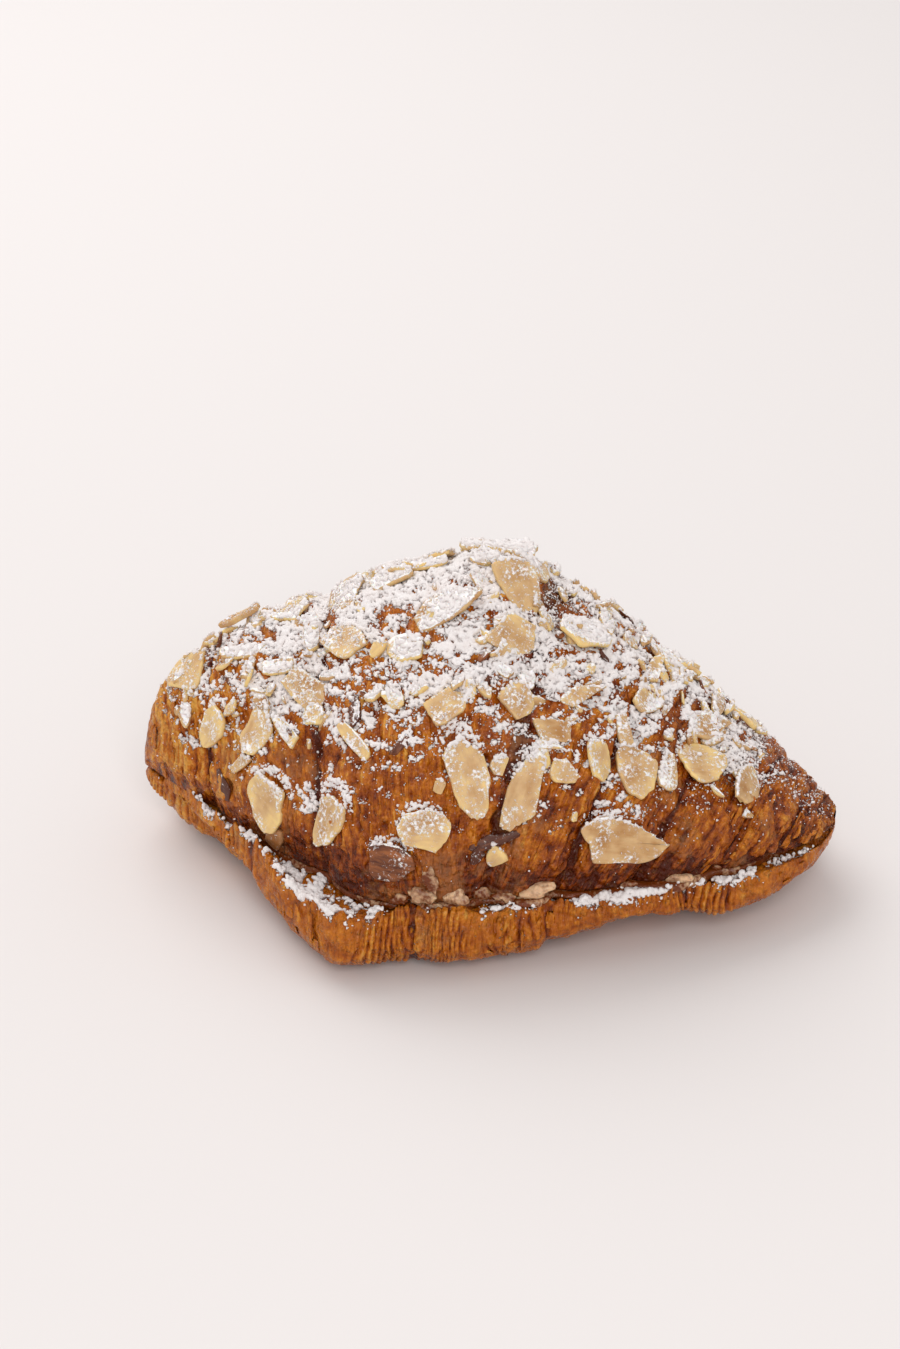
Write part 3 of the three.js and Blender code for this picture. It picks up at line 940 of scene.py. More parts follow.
LARGE_FLAKES = (
    Flake(OVAL, 32.5, 18.5, 0, 20.5, 10, tone=0.35),
    Flake(CHIP, -42.5, 17.5, -28, 13, 11, tone=-0.1),
    Flake(OVAL, -28, 20, -115, 14, 10, tone=0.2),
    Flake(CHIP, -8, 19, -10, 12, 8.5),
    Flake(OVAL, 0, 30, -70, 19, 9.5, tone=0.35),
    Flake(STRIP, 12, 27, -105, 17, 7, tone=0.3),
    Flake(CHIP, 19, 35, -55, 8, 6, bare=0.6),
    Flake(OVAL, 34, 40.5, -80, 14.5, 8.5, tone=0.1, bare=0.7),
    Flake(OVAL, 47, 54, 22, 14.5, 9.5, tone=-0.1, bare=1.0),
    Flake(STRIP, 40, 45, -93, 8.5, 4.5),
    Flake(CHIP, 26, 41, -95, 8.5, 7),
    Flake(STRIP, 16, 43.5, 12, 8.5, 4.5, tone=0.4, bare=0.8),
    Flake(OVAL, 9, 47, -38, 9, 7.5, tone=0.3, bare=0.8),
    Flake(CHIP, -5.5, 45.5, 35, 10, 7, tone=0.2, bare=0.5),
    Flake(STRIP, -23, 40, -42, 10.5, 3),
    Flake(CHIP, -33, 46, 0, 7, 6, tone=-0.2),
    Flake(OVAL, -46, 39, -115, 14, 8, tone=-0.1),
    Flake(CHIP, -57, 38, 35, 10, 8),
    Flake(STRIP, -39, 40, -42, 9, 3),
    Flake(OVAL, -13.5, 11.5, -18, 12.5, 8, skin=0.6),
    Flake(STRIP, -49, 27, 37, 7.5, 2.5, tone=0.3),
    Flake(OVAL, 6, 79, -62, 16, 9, tilt=34.0, tone=0.3, bare=0.8),
    Flake(CHIP, 6, 63.5, -5, 12, 8.5, tilt=8.0, tone=0.4, bare=0.75),
    Flake(OVAL, -8, 70.5, 8, 18, 8, tone=0.5),
    Flake(OVAL, -14, 62, -33, 11, 7.5),
    Flake(OVAL, -28, 66.5, -32, 14, 8, tone=0.3, bare=0.4),
    Flake(HALF, -53, 98, 0, 11, 7, tone=0.5, tilt=25.0, bare=0.8),
    Flake(OVAL, -64, 72, 54, 12, 8.5, tone=0.3, bare=0.7),
    Flake(CHIP, -36, 53.5, -35, 12, 8, tilt=10.0, tone=0.2, bare=0.4),
    Flake(OVAL, 20, 75, 17, 14, 10),
    Flake(HALF, 22, 55, 47, 12, 6.5, tilt=8.0, tone=0.2),
    Flake(OVAL, 47, 72, 38, 14, 6, tone=0.4),
)

SMALL_BITS = (
    Flake(CHIP, -41, 5, 10, 7, 5.5, tone=0.7, skin=0.35),
    Flake(CHIP, 7, 11.5, 60, 6, 4.6, tone=0.2, bare=1.0),
    Flake(HALF, 7, 14.5, 22, 14, 6, skin=1.0, bare=1.0),
    Flake(CHIP, 3, 12, 70, 5, 3.5, skin=1.0, bare=1.0),
    Flake(CHIP, -54, 14, 70, 7, 6, skin=1.0, bare=1.0),
    Flake(CHIP, 6, 32, 80, 6, 4, tone=0.3),
    Flake(CHIP, -5, 28, 70, 4, 2.6, tone=0.1),
    Flake(STRIP, 14.5, 37, -80, 6, 4, tone=-0.1),
    Flake(CHIP, 22, 24, 80, 2.6, 1.6, tone=-0.2),
    Flake(STRIP, 16, 40, 15, 6, 1.8),
    Flake(STRIP, -24, 47, 100, 7, 2.6, skin=1.0),
    Flake(STRIP, -14, 38, 60, 6, 2, skin=0.9),
)


def draws(seed: int) -> Iterator[float]:
    """Endless seeded draw of numbers, the same as for the solids.

    Args:
        seed: Number that picks the draw.

    Yields:
        Numbers from 0 to 1.
    """
    state = seed
    while True:
        state = (1664525 * state + 1013904223) % 4294967296
        yield state / 4294967296


@dataclass(frozen=True)
class Seat:
    """Place of a flake on the crust: its middle and three directions."""

    middle: Array
    along: Array
    across: Array
    normal: Array

    def turned(self, axis: Array, degrees: float, rise: float) -> "Seat":
        """The same place turned about an axis and raised along its old normal.

        Args:
            axis: Direction to turn about.
            degrees: How far to turn.
            rise: How far to raise it, in millimetres.

        Returns:
            The new seat.
        """
        turn = np.array(Matrix.Rotation(math.radians(degrees), 3, Vector(axis)))
        middle = self.middle + self.normal * rise
        return Seat(middle, turn @ self.along, turn @ self.across, turn @ self.normal)


@dataclass
class Almonds:
    """Flaked almonds on the crown: large ones listed one by one, the rest strewn by seeded rules.

    Sizes are in millimetres and angles in degrees. For the strewn flakes a pair is a start and a
    span. Elsewhere it is the least and the most.
    """

    form: RollForm
    strewn: int = 44
    seed: int = 71
    tries: int = 16
    mm_per_degree: float = 0.75
    end_narrowing: float = 0.6
    strewn_x: Pair = (-62.0, 118.0)
    strewn_up: Pair = (52.0, 90.0)
    strewn_length: Pair = (7.0, 7.0)
    strewn_slim: Pair = (0.55, 0.2)
    strewn_tone: Pair = (-0.2, 0.6)
    strip_width: float = 3.5
    shards: int = 300
    shard_x: Pair = (-66.0, 60.0)
    shard_up: Pair = (30.0, 145.0)
    shard_thinning: Pair = (30.0, 62.0)
    shard_length: Pair = (2.0, 6.5)
    shard_slim: Pair = (0.3, 0.75)
    shard_tone: Pair = (-0.3, 0.7)
    shard_skin: Pair = (0.4, 1.0)
    shard_skin_share: float = 0.1
    large_sides: int = 40
    bit_sides: int = 18
    shard_sides: int = 12
    large_tilt: float = 10.0
    strewn_tilt: float = 17.0
    shard_tilt: float = 48.0
    tilt_share: Pair = (0.3, 1.0)
    flattened: Pair = (0.0, 55.0)
    seat_share: float = 0.4
    thickness: float = 1.05
    thickness_swing: Pair = (0.75, 1.2)
    skin_thinning: float = 0.45
    sunk: float = 0.2
    crisp_edge: float = 0.14
    whole_length: float = 8.0
    cut_least: Pair = (0.6, 0.68)
    cut_most: float = 0.93
    nick_mm: float = 2.2
    nick_share: float = 0.07
    chip_share: float = 0.016
    full_warp_length: float = 10.0
    warp_least: Triple = (-0.5, -0.3, -0.6)
    warp_most: Triple = (0.8, 0.6, 0.6)
    ripple: float = 0.14
    sugar_patches: Uneven = Uneven(0.28, 7.0, 41)
    sugar_specks: Uneven = Uneven(1.0, 4.0, 43)
    facing_up: Pair = (0.42, 0.95)

    def strewn_flakes(self) -> list[Flake]:
        """Flakes over the top and the back, by the rule and in the order of the solids.

        Returns:
            The flakes, each in the widest gap of several tries.
        """
        draw = draws(self.seed)

        def drawn(start: float, span: float) -> float:
            """Next number of the draw, laid over a span."""
            return start + next(draw) * span

        flakes = list(LARGE_FLAKES)
        while len(flakes) < len(LARGE_FLAKES) + self.strewn:
            best = (-1.0, 0.0, 0.0)
            for _ in range(self.tries):
                x = drawn(*self.strewn_x)
                up = drawn(*self.strewn_up)
                best = max(best, (self.room(x, up, flakes), x, up), key=lambda spot: spot[0])
            turn = drawn(0.0, 180.0)
            length = drawn(*self.strewn_length)
            kind = tuple(FlakeKind)[int(drawn(0.0, 4.0))]
            slim = drawn(*self.strewn_slim)
            width = self.strip_width if kind is STRIP else length * slim
            flakes.append(Flake(kind, best[1], best[2], turn, length, width))
        return flakes[len(LARGE_FLAKES) :]

    def room(self, x: float, up: float, flakes: list[Flake]) -> float:
        """Free distance from a place on the skin to the nearest flake already there.

        Args:
            x: Place along the roll.
            up: Angle around the crown.
            flakes: The flakes already there.

        Returns:
            The distance, with an angle counted as the length of skin that it spans.
        """
        per_degree = self.mm_per_degree * (1.0 - self.end_narrowing * abs(x / self.form.half))
        gaps = [math.sqrt((x - f.x) ** 2 + ((up - f.up) * per_degree) ** 2) for f in flakes]
        return min(gaps + [2.0 * self.form.half])

    def shard_flakes(self, luck: np.random.Generator) -> list[Flake]:
        """Small broken bits, thick on the top and thinning out down the front.

        Args:
            luck: Seeded source of their places and sizes.

        Returns:
            The bits.
        """
        bits = []
        while len(bits) < self.shards:
            x, up = luck.uniform(*self.shard_x), luck.uniform(*self.shard_up)
            kept = float(smooth(*self.shard_thinning, np.asarray(up))) > luck.uniform()
            length, slim = luck.uniform(*self.shard_length), luck.uniform(*self.shard_slim)
            kind = tuple(FlakeKind)[luck.integers(4)]
            turn, tone = luck.uniform(0.0, 180.0), luck.uniform(*self.shard_tone)
            skin = luck.uniform(*self.shard_skin) * (luck.uniform() < self.shard_skin_share)
            if kept:
                bits.append(Flake(kind, x, up, turn, length, length * slim, tone=tone, skin=skin))
        return bits

    def seat(self, flake: Flake) -> Seat:
        """Where a flake lies, read from the skin under its ends and sides.

        Args:
            flake: The flake.

        Returns:
            Its seat on the crown.
        """
        angle, turn = math.radians(flake.up), math.radians(flake.turn)
        step, small_turn = 2.0, 0.05

        def skin(x: float, a: float) -> Array:
            """Point of the crown."""
            return self.form.crown_at(np.asarray(float(x)), np.asarray(float(a)))

        sideways = skin(flake.x + step, angle) - skin(flake.x - step, angle)
        upwards = skin(flake.x, angle + small_turn) - skin(flake.x, angle - small_turn)
        per_x = np.linalg.norm(sideways) / (2.0 * step)
        per_angle = np.linalg.norm(upwards) / (2.0 * small_turn)

        def spot(a: float, b: float) -> Array:
            """Point of the crown at a distance from the flake's middle."""
            x = flake.x + (a * math.cos(turn) - b * math.sin(turn)) / per_x
            return skin(x, angle + (a * math.sin(turn) + b * math.cos(turn)) / per_angle)

        middle, share = spot(0.0, 0.0), self.seat_share
        head, tail = spot(share * flake.length, 0.0), spot(-share * flake.length, 0.0)
        left, right = spot(0.0, share * flake.width), spot(0.0, -share * flake.width)
        along = unit(head - tail)
        normal = unit(np.cross(along, left - right))
        rise = max(0.0, float(np.dot((head + tail + left + right) / 4.0 - middle, normal)))
        return Seat(middle + normal * rise, along, np.cross(normal, along), normal)

    def tipped(self, flake: Flake, luck: np.random.Generator, most: float) -> Seat:
        """Seat of a flake that lies unevenly: those on the steep front lie flattest.

        Args:
            flake: The flake.
            luck: Seeded source of its unevenness.
            most: Largest tilt in degrees.

        Returns:
            The tipped seat.
        """
        seat = self.seat(flake)
        most = most * float(smooth(*self.flattened, np.asarray(flake.up)))
        about = unit(seat.along * luck.normal() + seat.across * luck.normal())
        degrees = luck.uniform(*self.tilt_share) * most
        seat = seat.turned(about, degrees, 0.22 * flake.width * math.sin(math.radians(degrees)))
        return seat.turned(np.array([1.0, 0.0, 0.0]), flake.tilt, 0.05 * flake.tilt)

    def broken_edge(self, flake: Flake, luck: np.random.Generator, sides: int) -> Array:
        """Edge of a flake with corners broken off and small nicks.

        Args:
            flake: The flake.
            luck: Seeded source of its breaks.
            sides: Points around its edge.

        Returns:
            Points of the edge in the flake's own plane.
        """
        edge = flake.outline(sides)
        cuts = BREAKS[flake.kind]
        least = self.cut_least[flake.length > self.whole_length]
        for _ in range(cuts):
            way = luck.uniform(0.0, 2.0 * math.pi)
            facing = np.array([math.cos(way), math.sin(way)])
            reach = edge @ facing
            limit = reach.max() * luck.uniform(least, self.cut_most)
            edge = edge - np.maximum(0.0, reach - limit)[:, None] * facing
        places = np.hstack([edge, np.full((sides, 1), flake.own_number)])
        nicks = noise(places, self.nick_mm, 13) * self.nick_share
        nicks = nicks + self.chip_share * luck.standard_normal(sides)
        nicks = nicks * (1.0 + 2.0 * flake.is_skin)
        return edge * (1.0 + nicks)[:, None]

    def flake_skin(self, flake: Flake, seat: Seat, luck: np.random.Generator, sides: int) -> Skin:
        """Mesh of one flake: flat faces, crisp broken edges, a slight curl.

        Args:
            flake: The flake.
            seat: Its place on the crust.
            luck: Seeded source of its unevenness.
            sides: Points around its edge.

        Returns:
            Its skin, with leaf, rim, tone, skin, bare, top and heap values.
        """
        edge = self.broken_edge(flake, luck, sides)
        still = np.full((sides, 1), flake.own_number)
        torn = 1.0 + 2.0 * flake.is_skin
        fine = sides == self.large_sides
        shares = [0.0, 0.45, 0.78, 0.95, 1.0, 1.0, 0.95, 0.6, 0.0] if fine else [0.0, 0.9, 1.0, 1.0, 0.0]
        half = self.thickness * luck.uniform(*self.thickness_swing)
        half = half * (1.0 - self.skin_thinning * flake.is_skin) / 2.0
        crisp = min(self.crisp_edge, half)
        upper, lower = (4, 3) if fine else (2, 1)
        levels = [half] * upper + [half - crisp, crisp - half] + [-half] * lower
        size = min(1.0, flake.length / self.full_warp_length)
        curl, cup, twist = luck.uniform(self.warp_least, self.warp_most) * size
        rings = []
        for share, level in zip(shares, levels):
            flat = edge * share
            a, b = flat[:, 0] / (flake.length / 2.0), flat[:, 1] / (flake.width / 2.0)
            ripple = self.ripple * size * torn * noise(np.hstack([flat, still]), 3.0, 5, 1)
            height = level + curl * a * a + cup * b * b + twist * a * b + ripple
            rings.append(np.column_stack([flat, height]))
        local = np.array(rings)
        lift = half - self.sunk - min(curl, 0.0) - min(cup, 0.0)
        world = seat.middle + local[..., :1] * seat.along + local[..., 1:2] * seat.across
        world = world + (local[..., 2:] + lift) * seat.normal
        outward = unit(edge)[:, 0] * seat.along[2] + unit(edge)[:, 1] * seat.across[2]
        ledge = smooth(0.3, 0.75, outward)[None, :] * (np.array(shares) > 0.85)[:, None]
        top = np.array(levels) > -0.4 * half
        blot = np.full(local.shape[:2], 1.0)
        values = {
            "leaf": np.concatenate([local[..., :2], flake.own_number * blot[..., None]], axis=-1),
            "rim": np.array(shares)[:, None] ** 4 * blot,
            "tone": (flake.tone + luck.uniform(-0.2, 0.2)) * blot,
            "skin": flake.skin * blot,
            "bare": flake.bare * blot,
            "top": top[:, None] * blot,
            "heap": ledge * top[:, None],
        }
        return Skin.lofted(world, values)

    def build(self, material: Material) -> tuple[Object, list[tuple[Flake, Seat]]]:
        """All flakes and bits in one piece.

        Args:
            material: Finish of the almonds.

        Returns:
            The piece, and each large flake with its seat.
        """
        luck = np.random.default_rng(self.seed)
        strewn = [replace(f, tone=luck.uniform(*self.strewn_tone)) for f in self.strewn_flakes()]
        placed = [(f, self.tipped(f, luck, self.large_tilt)) for f in LARGE_FLAKES]
        placed += [(f, self.tipped(f, luck, self.strewn_tilt)) for f in strewn]
        skins = [self.flake_skin(f, seat, luck, self.large_sides) for f, seat in placed]
        skins += [self.flake_skin(f, self.seat(f), luck, self.bit_sides) for f in SMALL_BITS]
        for bit in self.shard_flakes(luck):
            seat = self.tipped(bit, luck, self.shard_tilt)
            skins.append(self.flake_skin(bit, seat, luck, self.shard_sides))
        skin = Skin.joined(skins)
        piece = skin.to_object("flaked_almonds", material)
        self.dress(piece, skin)
        return piece, placed

    def dress(self, piece: Object, skin: Skin) -> None:
        """Says where sugar lies on the flakes, by how far they face up.

        Args:
            piece: The flakes.
            skin: Their skin, with its values.
        """
        normals = np.empty(len(skin.points) * 3, np.float32)
        piece.data.vertex_normals.foreach_get("vector", normals)
        values = skin.values
        patch = self.sugar_patches.at(skin.points)
        dust = smooth(*self.facing_up, normals.reshape(-1, 3)[:, 2] + patch) * (1.0 - 0.85 * values["bare"])
        specks = 0.5 * smooth(-0.6, 0.5, self.sugar_specks.at(skin.points)) * (1.0 - 0.5 * values["skin"])
        add_values(piece.data, "dust", np.maximum(dust, specks) * values["top"])
        heaps = np.maximum(0.5 * dust + 0.5 * dust**2, values["heap"] * (1.0 - values["skin"]))
        add_values(piece.data, "sugar", np.maximum(heaps, 0.2 * specks) * values["top"])


@dataclass(frozen=True)
class Folds:
    """Patterns of baked dough over a grid of its skin: how raised each is, and where it shows."""

    broad: Array
    broadly: Array
    narrow: Array
    narrowly: Array
    blisters: Array
    strands: Array


@dataclass
class Crown:
    """Upper half: rolled tiers of laminated dough with pleats, strands and blisters.

    Places and sizes are in millimetres along the roll, angles in radians around it. A pair of places
    or angles is where something starts to show and where it shows fully.
    """

    form: RollForm
    row_count: int = 440
    front_columns: int = 170
    back_columns: int = 52
    front_share: float = 0.56
    arc_mm: float = 36.0
    broad_mm: float = 4.4
    narrow_mm: float = 1.7
    wander: Uneven = Uneven(1.2, 13.0, 3)
    broad_drift: Uneven = Uneven(0.9, 24.0, 7)
    narrow_drift: Uneven = Uneven(1.3, 9.0, 11)
    broad_patches: Uneven = Uneven(1.0, 20.0, 17)
    narrow_patches: Uneven = Uneven(1.0, 8.0, 19)
    strand_patches: Uneven = Uneven(1.0, 11.0, 29)
    blisters: Uneven = Uneven(1.0, 3.2, 23)
    swells: Uneven = Uneven(0.8, 12.0, 31)
    pimples: Uneven = Uneven(0.4, 1.7, 33)
    syrup_patches: Uneven = Uneven(1.0, 9.0, 37)
    sugar_patches: Uneven = Uneven(0.26, 8.0, 53)
    sugar_specks: Uneven = Uneven(0.14, 2.6, 59)
    pleated_ends: Pair = (28.0, 58.0)
    stranded_ends: Pair = (44.0, 60.0)
    strand_bundle: Pair = (13.0, 6.0)
    strand_mm: Pair = (2.0, 5.0)
    strand_seed: int = 27
    strand_level: float = 0.7
    pleat_level: float = 0.67
    broad_height: float = 0.4
    narrow_height: float = 0.22
    blister_height: float = 0.55
    tint_level: float = 0.6
    # Pleats, blisters and strands are lighter on their backs and darker in their hollows: partly the
    # dough's own tone, partly painted shade.
    pleat_tint_and_shade: float = 0.4
    blister_tint_and_shade: float = 0.3
    strand_tint_and_shade: float = 1.1
    pale_end: Pair = (36.0, 60.0)
    pale_end_tint: float = 0.54
    amber_tip: Pair = (44.0, 64.0)
    amber_tip_tint: float = 0.13
    dark_flank: Pair = (16.0, 34.0)
    dark_flank_tint: float = 0.22
    syrup_smear: Pair = (-5.0, 5.0)
    bare_flank: Pair = (26.0, 44.0)
    bare_tip: Pair = (50.0, 64.0)
    thin_band: Pair = (-4.0, 14.0)
    facing_up: Pair = (0.48, 0.9)
    lone_grains: float = 0.012

    def angles(self) -> Array:
        """Angles around the section, closer together on the front.

        Returns:
            Angles from the front foot to the back foot.
        """
        turn = self.front_share * math.pi
        front = np.linspace(0.0, turn, self.front_columns, endpoint=False)
        return np.concatenate([front, np.linspace(turn, math.pi, self.back_columns)])

    def folds(self, u: Array, bare: Array) -> Folds:
        """Patterns of the dough.

        Args:
            u: Places along the roll at the front foot.
            bare: Grid of points of the plain skin.

        Returns:
            The patterns over that grid.
        """
        ends = smooth(*self.pleated_ends, np.abs(u))
        wander = u + self.wander.at(bare)
        bundles = hump(u, *self.strand_bundle) + smooth(*self.stranded_ends, np.abs(u))
        bundles = bundles + smooth(0.1, 0.6, self.strand_patches.at(bare))
        wrinkle = wrinkles(bare, *self.strand_mm, self.strand_seed)
        return Folds(
            pleats(wander / self.broad_mm + self.broad_drift.at(bare)),
            smooth(-0.2, 0.5, self.broad_patches.at(bare) + 0.45 * ends),
            pleats(wander / self.narrow_mm + self.narrow_drift.at(bare)),
            smooth(-0.15, 0.45, self.narrow_patches.at(bare) + 0.25 * ends),
            self.blisters.at(bare),
            (wrinkle - self.strand_level) * (0.3 + 0.7 * np.minimum(bundles, 1.0)),
        )

    def relief(self, bare: Array, folds: Folds) -> Array:
        """How far the dough stands off the plain skin.

        Args:
            bare: Grid of points of the plain skin.
            folds: Patterns of the dough.

        Returns:
            Heights in millimetres.
        """
        height = self.swells.at(bare)
        height = height + self.broad_height * folds.broadly * (folds.broad - self.pleat_level)
        fine = self.narrow_height * folds.narrowly * (folds.narrow - self.pleat_level)
        fine = fine + self.blister_height * folds.blisters + self.pimples.at(bare) + folds.strands
        return height + fine

    def browning(self, u: Array, angle: Array, bare: Array, folds: Folds) -> dict[str, Array]:
        """How brown and how damp the crust is, with painted shade in its grooves, creases and foot.

        Args:
            u: Places along the roll at the front foot.
            angle: Angles around the section.
            bare: Grid of points of the plain skin.
            folds: Patterns of the dough.

        Returns:
            Streak values, which are partly painted shade, groove values, which are painted shade, and glaze
            values over the grid.
        """
        # Darker at the crown's foot, in the grooves between tiers and in the pleats' creases: painted
        # shade.
        foot = 1.0 - smooth(0.0, 0.34, np.sin(angle))
        tier = self.form.tier(u, self.form.crown_edges)
        painted_crease_shade = 0.2 * folds.broadly * (1.0 - folds.broad) ** 4
        painted_crease_shade = painted_crease_shade + 0.1 * folds.narrowly * (1.0 - folds.narrow) ** 4
        groove = np.maximum((1.0 - smooth(0.0, 0.4, tier)) * self.form.end_fade(u) * 0.8, 0.5 * foot)
        groove = np.clip(groove + painted_crease_shade, 0.0, 1.0) * (1.0 - 0.45 * smooth(1.7, 2.2, angle))
        # Lighter on the backs of pleats, blisters and strands and darker in their hollows: partly the
        # dough's own tone, partly painted shade.
        streak = 0.5 + self.pleat_tint_and_shade * folds.broadly * (folds.broad - self.tint_level)
        streak += self.pleat_tint_and_shade * folds.narrowly * (folds.narrow - self.tint_level)
        streak += self.blister_tint_and_shade * folds.blisters
        streak += self.strand_tint_and_shade * folds.strands + self.pale_end_tint * smooth(*self.pale_end, -u)
        tip = self.amber_tip_tint * smooth(*self.amber_tip, u)
        streak += tip - self.dark_flank_tint * smooth(*self.dark_flank, u)
        smear = hump(u, *self.syrup_smear) * (1.0 - smooth(0.08, 0.42, angle))
        glaze = smooth(0.0, 0.6, self.syrup_patches.at(bare)) * 0.6 + 0.7 * smear
        return {"streak": streak, "groove": groove, "glaze": glaze}

    def sugaring(self, u: Array, angle: Array, points: Array, patch: Array) -> tuple[Array, Array]:
        """Where sugar lies, by how far the crust faces up.

        Args:
            u: Places along the roll at the front foot.
            angle: Angles around the section.
            points: Grid of points of the crust.
            patch: Patchiness of the sugar.

        Returns:
            How much sugar lies on the crust, and 1 on the flank that stays almost bare.
        """
        x = u + self.form.lean(u, angle)
        flank = smooth(*self.bare_flank, x) * (1.0 - smooth(0.75, 1.15, angle))
        sheltered = (1.0 - 0.6 * smooth(*self.bare_tip, x)) * (1.0 - 0.8 * flank)
        thinned = patch - 0.07 * hump(u, *self.thin_band) * (1.0 - smooth(0.9, 1.2, angle))
        up = grid_normals(points)[..., 2]
        return smooth(*self.facing_up, up + thinned) * self.hold(u, angle) * sheltered, flank

    def hold(self, u: Array, angle: Array) -> Array:
        """1 over the skin, dying to 0 at the feet and the tips, where the skin keeps its plain form."""
        return smooth(0.0, 0.2, np.sin(angle)) * self.form.end_fade(u)

    def build(self, material: Material, placed: list[tuple[Flake, Seat]]) -> Object:
        """The crust as one closed piece.

        Args:
            material: Finish of the crust.
            placed: The flakes that lie on it.

        Returns:
            The piece, with roll, streak, groove, glaze, dust and sugar values.
        """
        u, angle = np.meshgrid(self.form.rows(self.row_count), self.angles(), indexing="ij")
        bare = self.form.crown(u, angle)
        folds = self.folds(u, bare)
        hold = self.hold(u, angle)
        points = bare + grid_normals(bare) * (self.relief(bare, folds) * hold)[..., None]
        points[..., 2] = np.maximum(points[..., 2], self.form.foot)
        patch = self.sugar_patches.at(bare) + self.sugar_specks.at(bare)
        dust, flank = self.sugaring(u, angle, points, patch)
        hidden, ledge = self.shelter(points, placed)
        ledge = ledge * (0.8 - 0.5 * flank)
        values = self.browning(u, angle, bare, folds)
        values["dust"] = dust
        values["sugar"] = np.maximum(np.maximum(dust, self.lone_grains), ledge) * (1.0 - hidden) * hold
        values["roll"] = np.stack([u, self.arc_mm * angle, np.zeros_like(u)], axis=-1)
        return Skin.lofted(points, values).to_object("baked_crown", material)

    def shelter(self, points: Array, placed: list[tuple[Flake, Seat]]) -> tuple[Array, Array]:
        """How the flakes keep sugar off the crust or catch it.

        Args:
            points: Grid of points of the crust.
            placed: The flakes and their seats.

        Returns:
            1 where a flake hides the crust, and 1 just above a flake that stands out from a steep face.
        """
        hidden, ledge = np.zeros(points.shape[:2]), np.zeros(points.shape[:2])
        close_mm = 3.0
        for flake, seat in placed:
            away = points - seat.middle
            a = away @ seat.along / (flake.length / 2.0)
            b = away @ seat.across / (flake.width / 2.0)
            near = np.abs(away @ seat.normal) < close_mm
            far = np.sqrt(a * a + b * b)
            hidden = np.maximum(hidden, near * (far < 0.88))
            climb = unit(away)[..., 2]
            caught = near * (far > 0.8) * (far < 1.25) * smooth(0.3, 0.8, climb)
            ledge = np.maximum(ledge, caught * (1.0 - smooth(0.55, 0.8, np.asarray(seat.normal[2]))))
        return hidden, ledge


